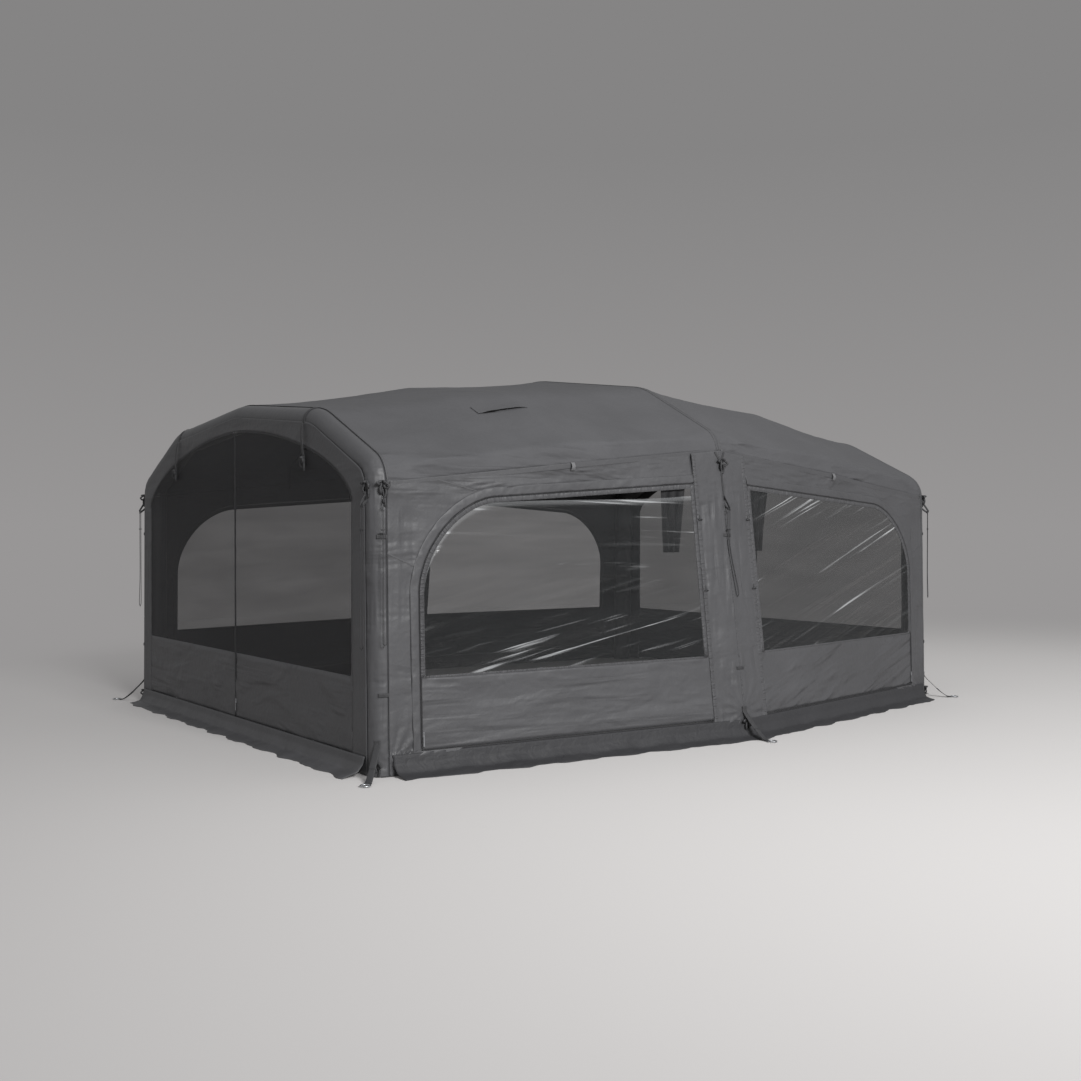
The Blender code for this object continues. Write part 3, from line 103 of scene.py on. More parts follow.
SKIRT_HEIGHT = 0.112
SKIRT_REACH = 0.12
SKIRT_CORNER_INSET = 0.1
TAB_HEIGHT = 1.45
TAB_DROP = 0.05
TAB_REACH = 0.045
TAB_ROOT = 0.055
TAB_TIP = 0.011
WEBBING_BITE = 0.002
SLEEVE_CLOTH = 0.0012
LOOSE_CLOTH = 0.0016
STRAP_HEIGHT = 0.16
STRAP_STAND_OUT = 0.112
STRAP_FLOOR_START = 0.165
STRAP_REACH = 0.205
STRAP_WIDTH = 0.036
RING_RADIUS = 0.026
RING_WIRE_RADIUS = 0.004
TAIL_TOP = 1.6
TAIL_BOTTOM = 1.13
TAIL_WIDTH = 0.2
TAIL_FOOT_WIDTH = 0.1
TAIL_FROM_PILLAR = 0.05
STRAND_SPREAD = 0.008

Arch = namedtuple(
    "Arch", "base_width eave_height lean shoulder_width shoulder_height ridge_height"
)
END_ARCH = Arch(3.48, 1.625, 0.03, 2.08, 1.95, 2.05)
MIDDLE_ARCH = Arch(4.16, 1.86, 0.25, 2.31, 2.22, 2.375)
NEAR, FAR = -1, 1
LEFT, RIGHT = -1, 1
SIDE_NAMES = {NEAR: "near", FAR: "far"}
END_NAMES = {LEFT: "left", RIGHT: "right"}
WALLS = [(side, end) for side in (NEAR, FAR) for end in (LEFT, RIGHT)]
UP = Vector((0.0, 0.0, 1.0))

# Routes of the folded guy lines from their tabs' eyes: along the wall, outwards and up
THROUGH_EYE = (
    (0.0045, 0.0, 0.0098), (0.0, 0.0, 0.0098), (-0.0055, 0.0, 0.007),
    (-STRAND_SPREAD, 0.0, 0.001), (-STRAND_SPREAD, 0.0, -0.012),
    (-STRAND_SPREAD, 0.0, -0.04), (-STRAND_SPREAD, 0.0, -0.1),
)
LINE_ROUTES = {
    "left_near_end": (
        *THROUGH_EYE, (-STRAND_SPREAD, 0.0, -0.2), (-STRAND_SPREAD, 0.0, -0.45),
        (-0.012, 0.003, -0.7), (-0.009, 0.0035, -0.724), (0.0, 0.004, -0.735),
        (0.009, 0.0035, -0.724), (0.012, 0.003, -0.7),
        (STRAND_SPREAD, 0.0, -0.45), (STRAND_SPREAD, 0.0, -0.2), (STRAND_SPREAD, 0.0, -0.003),
    ),
    "left_near_side": (
        *THROUGH_EYE, (-STRAND_SPREAD, 0.0, -0.2), (-STRAND_SPREAD, 0.0, -0.45),
        (-0.01, 0.003, -0.68), (-0.008, 0.0035, -0.702), (0.0, 0.004, -0.712),
        (0.008, 0.0035, -0.702), (0.01, 0.003, -0.68),
        (STRAND_SPREAD, 0.0, -0.45), (STRAND_SPREAD, 0.0, -0.2), (STRAND_SPREAD, 0.0, -0.003),
    ),
    "middle_near": (
        *THROUGH_EYE, (-STRAND_SPREAD, 0.0, -0.18), (-STRAND_SPREAD, 0.0, -0.21),
        (0.0, 0.0095, -0.3), (0.014, 0.0225, -0.4), (0.026, 0.036, -0.5),
        (0.03, 0.0395, -0.524), (0.038, 0.041, -0.534), (0.046, 0.0395, -0.524),
        (0.05, 0.036, -0.5), (0.034, 0.0225, -0.4), (0.018, 0.0095, -0.3),
        (STRAND_SPREAD, 0.0, -0.21), (STRAND_SPREAD, 0.0, -0.18), (STRAND_SPREAD, 0.0, -0.003),
    ),
    "right_near": (
        *THROUGH_EYE, (-STRAND_SPREAD, 0.0, -0.2), (-STRAND_SPREAD, 0.0, -0.45),
        (-0.014, 0.003, -0.6), (-0.01, 0.0035, -0.627), (0.0, 0.004, -0.64),
        (0.01, 0.0035, -0.627), (0.014, 0.003, -0.6),
        (STRAND_SPREAD, 0.0, -0.45), (STRAND_SPREAD, 0.0, -0.2), (STRAND_SPREAD, 0.0, -0.003),
    ),
    "left_far": (
        *THROUGH_EYE, (-STRAND_SPREAD, 0.0, -0.2), (-STRAND_SPREAD, 0.0, -0.45),
        (-0.014, 0.003, -0.65), (-0.01, 0.0035, -0.677), (0.0, 0.004, -0.69),
        (0.01, 0.0035, -0.677), (0.014, 0.003, -0.65),
        (STRAND_SPREAD, 0.0, -0.45), (STRAND_SPREAD, 0.0, -0.2), (STRAND_SPREAD, 0.0, -0.003),
    ),
}
CORNER_DIAGONAL = pi / 4
FLAT_ANGLE = pi / BEAM_SIDES
LINE_PLACES = {
    "left_near_end": (NEAR, LEFT, pi / 2 - FLAT_ANGLE),
    "left_near_side": (NEAR, LEFT, FLAT_ANGLE),
    "middle_near": (NEAR, 0, 0.0),
    "right_near": (NEAR, RIGHT, CORNER_DIAGONAL),
    "left_far": (FAR, LEFT, CORNER_DIAGONAL),
}
TAB_ANGLES = {
    (NEAR, LEFT): (FLAT_ANGLE, pi / 2 - FLAT_ANGLE),
    (FAR, LEFT): (CORNER_DIAGONAL,),
    (NEAR, RIGHT): (CORNER_DIAGONAL,),
    (FAR, RIGHT): (CORNER_DIAGONAL,),
}


class TentCloth(bpy.types.PropertyGroup):
    """Cloth, film and trimmings."""

    cloth_thickness: bpy.props.FloatProperty(
        name="Cloth thickness", description="Drawn thickness of the coated cloth",
        default=0.0016, min=0.0005, max=0.003, unit="LENGTH",
    )
    fold_depth: bpy.props.FloatProperty(
        name="Fold depth", description="Height of the soft folds in the tensioned cloth",
        default=0.0055, min=0.0, max=0.008, unit="LENGTH",
    )
    film_fold_depth: bpy.props.FloatProperty(
        name="Film fold depth", description="Height of the wrinkles in the window film",
        default=0.0075, min=0.0, max=0.012, unit="LENGTH",
    )
    seam_width: bpy.props.FloatProperty(
        name="Seam width", description="Width of a felled seam",
        default=0.014, min=0.006, max=0.03, unit="LENGTH",
    )
    zip_tape_width: bpy.props.FloatProperty(
        name="Zip tape width", description="Width of a closed zip with its tapes",
        default=0.018, min=0.012, max=0.04, unit="LENGTH",
    )
    webbing_width: bpy.props.FloatProperty(
        name="Webbing width", description="Width of the narrow webbing bars",
        default=0.02, min=0.01, max=0.04, unit="LENGTH",
    )
    cloth_colour: bpy.props.StringProperty(
        name="Cloth colour", description="Coated polyester, as an sRGB hex value",
        default="474749",
    )
    # Painted light: the roof is the walls' cloth, given a lighter colour for the brighter light on
    # the roof
    roof_painted_light_colour: bpy.props.StringProperty(
        name="Roof colour", description="Coated polyester of the roof, as an sRGB hex value",
        default="4F4F51",
    )
    sleeve_colour: bpy.props.StringProperty(
        name="Sleeve colour", description="Air beam sleeves, as an sRGB hex value",
        default="474749",
    )
    film_colour: bpy.props.StringProperty(
        name="Film tint", description="Clear window film, as an sRGB hex value",
        default="303132",
    )
    film_cover: bpy.props.FloatProperty(
        name="Film cover", description="How much the film veils what lies behind it",
        default=0.42, min=0.05, max=0.8, subtype="FACTOR",
    )
    mesh_cover: bpy.props.FloatProperty(
        name="Mesh cover", description="How much the insect mesh hides what lies behind it",
        default=0.62, min=0.2, max=0.95, subtype="FACTOR",
    )
    webbing_colour: bpy.props.StringProperty(
        name="Webbing colour", description="Straps, tabs and tape, as an sRGB hex value",
        default="222224",
    )


class TentStage(bpy.types.PropertyGroup):
    """Camera, floor and lamps."""

    lens: bpy.props.FloatProperty(
        name="Lens", description="Focal length on a 36 mm sensor", default=39.38, unit="CAMERA",
    )
    floor_colour: bpy.props.StringProperty(
        name="Floor colour", description="Pale studio floor, as an sRGB hex value",
        default="C9C7C6",
    )
    backdrop_low_colour: bpy.props.StringProperty(
        name="Backdrop low colour", description="Backdrop at the floor, as an sRGB hex value",
        default="989696",
    )
    backdrop_high_colour: bpy.props.StringProperty(
        name="Backdrop high colour", description="Backdrop high up, as an sRGB hex value",
        default="858484",
    )
    key_power: bpy.props.FloatProperty(
        name="Key lamp", description="Power of the large lamp at the near side",
        default=2400.0, unit="POWER",
    )
    top_power: bpy.props.FloatProperty(
        name="Top lamp", description="Power of the large lamp over the roof",
        default=60.0, unit="POWER",
    )
    sky_strength: bpy.props.FloatProperty(
        name="Room light", description="Strength of the light from all round", default=0.38,
    )


# Shape of the tent

def blend(first, second, share):
    return first * (1 - share) + second * share


def smooth_share(value):
    """0 below 0, 1 above 1, smooth between."""
    value = min(max(value, 0.0), 1.0)
    return value * value * (3 - 2 * value)


def edge_fade(share, width, reach):
    """0 at both edges of a width, 1 from a reach within them."""
    return smooth_share(min(share, 1 - share) * width / reach)


def sideways(side):
    """Straight out of a side wall."""
    return Vector((0.0, side, 0.0))


def endways(end):
    """Straight out of an end wall."""
    return Vector((end, 0.0, 0.0))


def level_direction(azimuth):
    return Vector((cos(azimuth), sin(azimuth), 0.0))


def bay_of(across):
    """The bay that a signed distance from the middle arch lies in."""
    return LEFT if across < 0 else RIGHT


def wall_name(side, end):
    return f"{END_NAMES[end]}_{SIDE_NAMES[side]}"


def dressing():
    """The settings of cloth, film and trimmings."""
    return bpy.context.scene.tent_cloth


def rounded_corner(corner, before, after, radius, steps):
    """Points and outward normals round one corner of an outline that climbs from +Y."""
    into = (corner - before).normalized()
    out_of = (after - corner).normalized()
    first = Vector((into.y, -into.x))
    last = Vector((out_of.y, -out_of.x))
    start_angle = atan2(first.y, first.x)
    turn = atan2(last.y, last.x) - start_angle
    centre = corner - into * radius * tan(turn / 2) - first * radius
    found = []
    for step in range(steps + 1):
        normal = Vector((cos(start_angle + turn * step / steps),
                         sin(start_angle + turn * step / steps)))
        found.append((centre + normal * radius, normal))
    return found


BEND_STEPS = 8


def tight_corner(corner, before, after, radius, steps):
    """The same corner, point for point, where cloth runs straight on to a small bend."""
    wide = rounded_corner(corner, before, after, radius, steps)
    return [wide[0], *rounded_corner(corner, before, after, CLOTH_BEND_RADIUS, steps - 2),
            wide[-1]]


def arch_outline(arch, eave_corner=rounded_corner):
    """Points (Y, Z) with outward normals, from the far foot over the ridge to the near foot."""
    foot = Vector((arch.base_width / 2, 0.0))
    eave = Vector((arch.base_width / 2 - arch.lean, arch.eave_height))
    shoulder = Vector((arch.shoulder_width / 2, arch.shoulder_height))
    ridge = Vector((0.0, arch.ridge_height))
    past_ridge = Vector((-shoulder.x, shoulder.y))
    rise = (eave - foot).normalized()
    half = [(foot, Vector((rise.y, -rise.x)))]
    half += eave_corner(eave, foot, shoulder, EAVE_BEND_RADIUS, BEND_STEPS)
    half += rounded_corner(shoulder, eave, ridge, SHOULDER_BEND_RADIUS, BEND_STEPS)
    top = rounded_corner(ridge, shoulder, past_ridge, RIDGE_BEND_RADIUS, BEND_STEPS)
    half += top[: BEND_STEPS // 2 + 1]
    mirrored = [
        (Vector((-point.x, point.y)), Vector((-normal.x, normal.y)))
        for point, normal in reversed(half[:-1])
    ]
    return half + mirrored


OUTLINES = {arch: arch_outline(arch) for arch in (END_ARCH, MIDDLE_ARCH)}


class Track:
    """Rows of matching points, and what they carry, read by the share of their mean length."""

    def __init__(self, *rows, carried=()):
        self.rows = (*rows, *carried)
        self.reach = [0.0]
        for index in range(1, len(rows[0])):
            step = sum((row[index] - row[index - 1]).length for row in rows) / len(rows)
            self.reach.append(self.reach[-1] + step)
        self.length = self.reach[-1]

    def at(self, share):
        """The point of each row at a share of the length."""
        target = min(max(share, 0.0), 1.0) * self.length
        low, high = 0, len(self.reach) - 1
        while high - low > 1:
            middle = (low + high) // 2
            if self.reach[middle] <= target:
                low = middle
            else:
                high = middle
        part = (target - self.reach[low]) / max(self.reach[high] - self.reach[low], 1e-9)
        return [blend(row[low], row[high], part) for row in self.rows]


def leg_half_width(arch, height):
    return arch.base_width / 2 - arch.lean * height / arch.eave_height


def wall_point(from_middle, height, side, end):
    """A point of the side wall's outer face, ruled between an end leg and the middle leg."""
    half_width = blend(leg_half_width(MIDDLE_ARCH, height), leg_half_width(END_ARCH, height),
                       from_middle / BEAM_X)
    return Vector((end * from_middle, side * half_width, height))


def roof_lift(share):
    """How far the pole holds the roof up at a share of the bay, less the sag between."""
    half_share = (2 * share) % 1.0
    tent_pole = (1 + cos(pi * (2 * share - 1))) / 2
    return ROOF_POLE_LIFT * tent_pole - ROOF_SAG * 4 * half_share * (1 - half_share)


CANOPY_OUTLINES = [
    outline[1:-1] for outline in (
        OUTLINES[END_ARCH], OUTLINES[MIDDLE_ARCH],
        arch_outline(END_ARCH, tight_corner), arch_outline(MIDDLE_ARCH, tight_corner),
    )
]
CANOPY_TRACK = Track(
    *([point for point, _ in outline] for outline in CANOPY_OUTLINES),
    carried=[[normal for _, normal in outline] for outline in CANOPY_OUTLINES],
)


def roof_place(round_share, share, end):
    """A point of a canopy's outer face and its direction: round at the arches, tight between."""
    drawn = edge_fade(share, BEAM_X, EAVE_DRAW_LENGTH)
    wide_end, wide_middle, tight_end, tight_middle, *normals = CANOPY_TRACK.at(round_share)
    point = blend(blend(wide_end, tight_end, drawn), blend(wide_middle, tight_middle, drawn),
                  share)
    normal = blend(blend(normals[0], normals[2], drawn), blend(normals[1], normals[3], drawn),
                   share).normalized()
    lifted = point + normal * roof_lift(share)
    return (Vector((end * blend(BEAM_X, SEAM_GAP / 2, share), lifted.x, lifted.y)),
            Vector((0.0, *normal)))


def roof_point(round_share, share, end):
    return roof_place(round_share, share, end)[0]


def eave_point(share, side, end):
    """The lower edge of a canopy."""
    return roof_point(0.0 if side == FAR else 1.0, share, end)


def opening_head(from_middle, inset=0.0):
    """The height of a side opening's top edge at a distance from the middle arch."""
    arch_start = SIDE_OPENING_FAR_EDGE - SIDE_ARCH_RUN
    slope = (SIDE_HEAD_NEAR_PILLAR - SIDE_ARCH_TOP) / (arch_start - PILLAR_HALF_WIDTH)
    if from_middle <= arch_start:
        return SIDE_ARCH_TOP + slope * (arch_start - from_middle) - inset
    run = SIDE_ARCH_RUN - inset
    share = min((from_middle - arch_start) / run, 1.0)
    rise = (1 - share**SIDE_ARCH_POWER) ** (1 / SIDE_ARCH_POWER)
    return SIDE_OPENING_SPRING + (SIDE_ARCH_TOP - inset - SIDE_OPENING_SPRING) * rise


OUTLINE_STEPS = 24


def spaced(start, stop, steps=OUTLINE_STEPS):
    """Even values from start up to, and without, stop."""
    return [blend(start, stop, step / steps) for step in range(steps)]


def side_opening(inset, sill, pillar_edge):
    """The D outline from the sill at the pillar, round the far jamb and back to the pillar."""
    far_edge = SIDE_OPENING_FAR_EDGE - inset
    arch_start = SIDE_OPENING_FAR_EDGE - SIDE_ARCH_RUN
    outline = [(distance, sill) for distance in spaced(pillar_edge, far_edge)]
    outline += [(far_edge, height) for height in spaced(sill, SIDE_OPENING_SPRING)]
    stations = [arch_start + (SIDE_ARCH_RUN - inset) * sin(pi / 2 * step / OUTLINE_STEPS)
                for step in range(OUTLINE_STEPS, -1, -1)]
    stations += [*spaced(arch_start, pillar_edge)[1:], pillar_edge]
    return outline + [(distance, opening_head(distance, inset)) for distance in stations]


def frame_outer_edge(side, end, pillar_edge):
    """The frame's outer edge, point for point beside side_opening: floor, end leg, eave."""
    edge = [wall_point(distance, FLOOR_GAP, side, end)
            for distance in spaced(pillar_edge, BEAM_X)]
    edge += [wall_point(BEAM_X, height, side, end)
             for height in spaced(FLOOR_GAP, SIDE_OPENING_SPRING)]
    gap = UP * SEAM_GAP
    climb = OUTLINE_STEPS // 2
    edge += spaced(wall_point(BEAM_X, SIDE_OPENING_SPRING, side, end),
                   eave_point(0.0, side, end) - gap, climb)
    arch_start = SIDE_OPENING_FAR_EDGE - SIDE_ARCH_RUN
    stations = [*spaced(BEAM_X, arch_start, climb), *spaced(arch_start, pillar_edge), pillar_edge]
    return edge + [eave_point(1 - distance / BEAM_X, side, end) - gap for distance in stations]


def header_point(from_middle, height, side, end):
    """A point of the frame's outer face over the opening."""
    head = wall_point(from_middle, opening_head(from_middle), side, end)
    eave = eave_point(1 - from_middle / BEAM_X, side, end)
    return blend(head, eave, (height - head.z) / (eave.z - head.z))


def end_head(across, inset=0.0):
    """The height of an end opening's edge at a distance from the middle of the end."""
    half_width = END_OPENING_HALF_WIDTH - inset
    share = min(abs(across) / half_width, 1.0)
    rise = (1 - share**END_ARCH_POWER) ** (1 / END_ARCH_POWER)
    return END_OPENING_SPRING + (END_OPENING_CROWN - inset - END_OPENING_SPRING) * rise


def half_end_opening(inset, sill, middle_edge):
    """Half the opening's outline, from its sill in the middle round to its crown."""
    half_width = END_OPENING_HALF_WIDTH - inset
    start = asin(middle_edge / half_width)
    outline = [(across, sill) for across in spaced(middle_edge, half_width)]
    outline += [(half_width, height) for height in spaced(sill, END_OPENING_SPRING)]
    for step in range(2 * OUTLINE_STEPS + 1):
        across = half_width * sin(blend(pi / 2, start, step / (2 * OUTLINE_STEPS)))
        outline.append((across, end_head(across, inset)))
    return outline


def corner_leg(side, end, height):
    """The middle of an end leg's tube at a height."""
    return (end * BEAM_X, side * (leg_half_width(END_ARCH, height) - BEAM_INSET))


def corner_azimuth(side, end, from_side):
    """The direction out of a corner, an angle away from straight across the tent."""
    return atan2(side * cos(from_side), end * sin(from_side))


def valve_matrix(arch, beam_x):
    """A frame at the near leg's tube centre with its Z towards the inside of the tent."""
    lean = atan2(arch.lean, arch.eave_height)
    inwards = Vector((0.0, cos(lean), -sin(lean)))
    outside = Vector((beam_x, -leg_half_width(arch, VALVE_HEIGHT), VALVE_HEIGHT))
    centre = outside + inwards * BEAM_INSET
    return Matrix.Translation(centre) @ inwards.to_track_quat("Z", "Y").to_matrix().to_4x4()


# Wrinkles

def streaks(across, along, angle, wave, stretch, seed):
    """Noise drawn out along an angle: wave metres across a fold and stretch times that along."""
    run = (across * cos(angle) + along * sin(angle)) / (wave * stretch)
    cut = (along * cos(angle) - across * sin(angle)) / wave
    return noise.noise(Vector((run, cut, seed)))


def creases(across, along, angle, wave, stretch, seed):
    """Thin tapering folds, 0 to 1, along the peaks of drawn-out noise."""
    return smooth_share((streaks(across, along, angle, wave, stretch, seed) - 0.2) / 0.4)


def place_seed(side, end):
    """A different patch of noise for each wall."""
    return 11.3 + 3.7 * side + 6.1 * end


def wall_relief(distance, height, side, end):
    """Folds of the tensioned side wall, metres outwards."""
    depth = dressing().fold_depth
    seed = place_seed(side, end)
    broad = streaks(distance, height, 1.2, 0.3, 1.6, seed)
    fine = streaks(distance, height, 1.35, 0.05, 5.0, seed + 20)
    foot = hypot(distance - BEAM_X, height - 0.05)
    turn = atan2(height - 0.05, distance - BEAM_X)
    gather = exp(-foot / 0.2) * sin(17 * turn + 3 * broad)
    return depth * (0.45 * broad + 0.3 * fine + 1.7 * gather)


def header_relief(distance, share, side, end):
    """Folds over a door's head: puckers at its edge that fade towards the eave."""
    depth = dressing().fold_depth
    seed = place_seed(side, end) + 40
    pucker = streaks(distance, 0.0, 0.0, 0.06, 1.0, seed) * exp(-share / 0.35)
    slant = streaks(distance, share * 0.4, 0.5, 0.09, 3.0, seed + 5)
    broad = streaks(distance, share * 0.4, 0.1, 0.3, 1.6, seed + 9)
    long = creases(distance, share * 0.4, 0.12 if end == RIGHT else -0.12, 0.024, 10.0, seed + 11)
    return depth * (0.8 * pucker + 0.6 * slant + 0.6 * broad + 0.9 * long)


def film_relief(distance, height, side, end):
    """Broad folds of the window film, metres outwards."""
    depth = dressing().film_fold_depth
    seed = place_seed(side, end) + 60
    if end == LEFT:
        top = smooth_share((height - 0.9) / 0.25)
        slant = streaks(distance, height, -0.2, 0.07, 6.0, seed + 9)
        flat = streaks(distance, height, 0.03, 0.06, 8.0, seed + 12)
        return depth * blend(slant, flat, top)
    return depth * streaks(distance, height, 0.31, 0.075, 8.0, seed + 9)


def soft_folds(across, along, broad, fine, seed):
    """Broad folds with finer ones between; each is an angle, a wave and a stretch."""
    return dressing().fold_depth * (0.7 * streaks(across, along, *broad, seed)
                                    + 0.35 * streaks(across, along, *fine, seed + 4))


def end_relief(across, height, end):
    """Folds of an end wall, metres outwards."""
    return soft_folds(across, height, (0.12, 0.16, 3.0), (-0.1, 0.05, 6.0), 90 + 5 * end)


def roof_relief(across, along, end):
    """Soft folds of the roof between its seams, metres outwards."""
    return soft_folds(across, along, (0.15, 0.34, 2.2), (0.35, 0.085, 4.5), 120 + 8 * end)


# Making meshes

def grid_shape(columns, rows, place, size, closed=False):
    """A grid that place(u, v) lays out as points with a lift, in metres, and its flat area.

    place gives a point, a direction and a height along it, and for cloth its pull as the
    crease attribute. The points without their heights give the area that the cloth is cut to.
    """
    shape = bmesh.new()
    bmesh.ops.create_grid(shape, x_segments=columns, y_segments=rows, size=0.5)
    uv_map = shape.loops.layers.uv.new("UVMap")
    crease = shape.verts.layers.float.new("crease")
    lifts = []
    for vertex in shape.verts:
        u, v = vertex.co.x + 0.5, vertex.co.y + 0.5
        for loop in vertex.link_loops:
            loop[uv_map].uv = (u * size[0], v * size[1])
        made = place(u, v)
        vertex.co = made[0]
        lifts.append(made[1] * made[2])
        if len(made) > 3:
            vertex[crease] = made[3]
    area = sum(face.calc_area() for face in shape.faces)
    for vertex, lift in zip(shape.verts, lifts):
        vertex.co += lift
    if closed:
        bmesh.ops.remove_doubles(shape, verts=shape.verts, dist=1e-5)
    return shape, area


def border_point(track, u, v, reach):
    """A point across a border, and the share of its folds, which fade towards both edges."""
    first, second = track.at(u)
    return blend(first, second, v), edge_fade(v, (second - first).length, reach)


def face_outwards(shape, outward):
    """Turns an open sheet so that most of it faces a direction."""
    shape.normal_update()
    facing = sum(face.normal.dot(outward) * face.calc_area() for face in shape.faces)
    if facing < 0:
        bmesh.ops.reverse_faces(shape, faces=shape.faces)


def finish_shape(shape, name, finish, body="tent", nodes=(), slot="skin", thickness=0.0):
    """Makes the piece, gives it its finish and body, and any thickness inwards."""
    mesh = bpy.data.meshes.new(name)
    for face in shape.faces:
        face.smooth = True
    shape.to_mesh(mesh)
    shape.free()
    made = bpy.data.objects.new(name, mesh)
    bpy.context.scene.collection.objects.link(made)
    mesh.materials.append(make_finish(finish))
    if thickness:
        solidify = made.modifiers.new("thickness", "SOLIDIFY")
        solidify.thickness = thickness
        solidify.offset = -1.0
        solidify.use_even_offset = False
    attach(made, body)
    if nodes:
        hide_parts(*nodes)
    return made


def make_sheet(name, finish, counts, size, place, outward, closed=False, **fitting):
    """A sheet that place(u, v) lays out, its good side outwards, and its flat area."""
    shape, area = grid_shape(*counts, place, size, closed)
    face_outwards(shape, outward)
    return finish_shape(shape, name, finish, **fitting), area


def join_shapes(shapes):
    """One mesh from several loose ones."""
    whole = bmesh.new()
    whole.loops.layers.uv.new("UVMap")
    whole.verts.layers.float.new("crease")
    holder = bpy.data.meshes.new("loose_part")
    for shape in shapes:
        shape.to_mesh(holder)
        shape.free()
        whole.from_mesh(holder)
    bpy.data.meshes.remove(holder)
    return whole


def smooth_route(points, spacing):
    """A Catmull-Rom curve through the points, read at about even spacing."""
    ends = [points[0] * 2 - points[1], *points, points[-1] * 2 - points[-2]]
    found = []
    for before, start, stop, after in zip(ends, ends[1:], ends[2:], ends[3:]):
        steps = max(1, round((stop - start).length / spacing))
        for step in range(steps):
            t = step / steps
            found.append(
                (start * 2 + (stop - before) * t
                 + (before * 2 - start * 5 + stop * 4 - after) * t**2
                 + (start * 3 - before - stop * 3 + after) * t**3) / 2
            )
    return found + [points[-1]]


def path_length(points):
    return sum((second - first).length for first, second in zip(points, points[1:]))


def headings(points):
    """The way a path runs at each of its points."""
    return [after - before
            for before, after in zip(points[:1] + points, points[1:] + points[-1:])]


def cap_ends(shape):
    """Closes the open ends of a tube and turns its faces outwards."""
    bmesh.ops.holes_fill(shape, edges=[edge for edge in shape.edges if edge.is_boundary])
    bmesh.ops.recalc_face_normals(shape, faces=shape.faces)
    return shape


def tube_shape(points, radius, sides):
    """A closed round tube along points."""
    frames = []
    side = None
    for point, heading in zip(points, headings(points)):
        tangent = heading.normalized()
        if side is None:
            side = tangent.orthogonal().normalized()
        side = (side - tangent * side.dot(tangent)).normalized()
        frames.append((point, side, tangent.cross(side)))

    def place(u, v):
        centre, across, up = frames[round(v * (len(points) - 1))]
        angle = 2 * pi * u
        return centre + (across * cos(angle) + up * sin(angle)) * radius, across, 0.0

    size = (2 * pi * radius, path_length(points))
    return cap_ends(grid_shape(sides, len(points) - 1, place, size, closed=True)[0])


def ribbon_shape(points, normals, width, height, bow=0.0):
    """A flat closed tape along points, its back on the surface and its edges rounded."""
    section = (
        (-0.5, 0.0), (-0.5, 0.6), (-0.44, 1.0), (-0.2, 1.0 + bow), (0.2, 1.0 + bow),
        (0.44, 1.0), (0.5, 0.6), (0.5, 0.0),
    )
    count = len(section)
    frames = [(point, heading.cross(normal).normalized(), normal.normalized())
              for point, heading, normal in zip(points, headings(points), normals)]

    def place(u, v):
        point, across, up = frames[round(v * (len(points) - 1))]
        reach, rise = section[round(u * count) % count]
        return point + across * (reach * width) + up * (rise * height), up, 0.0

    size = (width * 2, path_length(points))
    return cap_ends(grid_shape(count, len(points) - 1, place, size, closed=True)[0])


def ring_shape(centre, axis, radius, wire, steps=32, sides=10):
    """A closed wire ring round an axis."""
    across = axis.orthogonal().normalized()
    up = axis.cross(across).normalized()

    def place(u, v):
        turn, roll = 2 * pi * u, 2 * pi * v
        spoke = across * cos(turn) + up * sin(turn)
        return centre + spoke * (radius + wire * cos(roll)) + axis * (wire * sin(roll)), axis, 0.0

    shape, _ = grid_shape(steps, sides, place, (2 * pi * radius, 2 * pi * wire), closed=True)
    bmesh.ops.recalc_face_normals(shape, faces=shape.faces)
    return shape


def cone_shape(matrix, segments, low_radius, high_radius, depth):
    """A closed cone or cylinder, laid by a matrix."""
    shape = bmesh.new()
    bmesh.ops.create_cone(shape, cap_ends=True, segments=segments, radius1=low_radius,
                          radius2=high_radius, depth=depth)
    bmesh.ops.transform(shape, matrix=matrix, verts=shape.verts)
    return shape


# Materials

def linear_colour(text):
    """An sRGB hex value as linear red, green, blue and alpha."""
    channels = [int(text[index:index + 2], 16) / 255 for index in (0, 2, 4)]
    return (*(value / 12.92 if value <= 0.04045 else ((value + 0.055) / 1.055) ** 2.4
              for value in channels), 1.0)


def add_node(tree, kind, inputs=(), feeds=None, **settings):
    """Adds a shader node with its settings, and links or sets its inputs.

    A node given for an input stands for its first output. feeds is a socket that the new
    node's first output goes into.
    """
    made = tree.nodes.new("ShaderNode" + kind)
    for key, value in settings.items():
        setattr(made, key, value)
    for key, value in dict(inputs).items():
        if isinstance(value, bpy.types.Node):
            value = value.outputs[0]
        if isinstance(value, bpy.types.NodeSocket):
            tree.links.new(value, made.inputs[key])
        else:
            made.inputs[key].default_value = value
    if feeds is not None:
        tree.links.new(made.outputs[0], feeds)
    return made


def start_finish(name, colour, roughness, metallic=0.0):
    """A material with a Principled shader, and its node tree and shader."""
    material = bpy.data.materials.new(name)
    material.use_nodes = True
    tree = material.node_tree
    shader = tree.nodes["Principled BSDF"]
    shader.inputs["Base Color"].default_value = linear_colour(colour)
    shader.inputs["Roughness"].default_value = roughness
    shader.inputs["Metallic"].default_value = metallic
    return material, tree, shader


def drawn_noise(tree, place, lean, across, along, shift=0.0, detail=3.0):
    """Noise drawn out along the walls, leaning up from the level towards the right."""
    laid = add_node(tree, "Mapping", {
        "Vector": place, "Location": (shift, shift, 0.0), "Rotation": (0.0, -lean, 0.0),
        "Scale": (along, along, across),
    }, vector_type="TEXTURE")
    return add_node(tree, "TexNoise", {
        "Vector": laid, "Scale": 1.0, "Detail": detail, "Distortion": 0.35,
    })


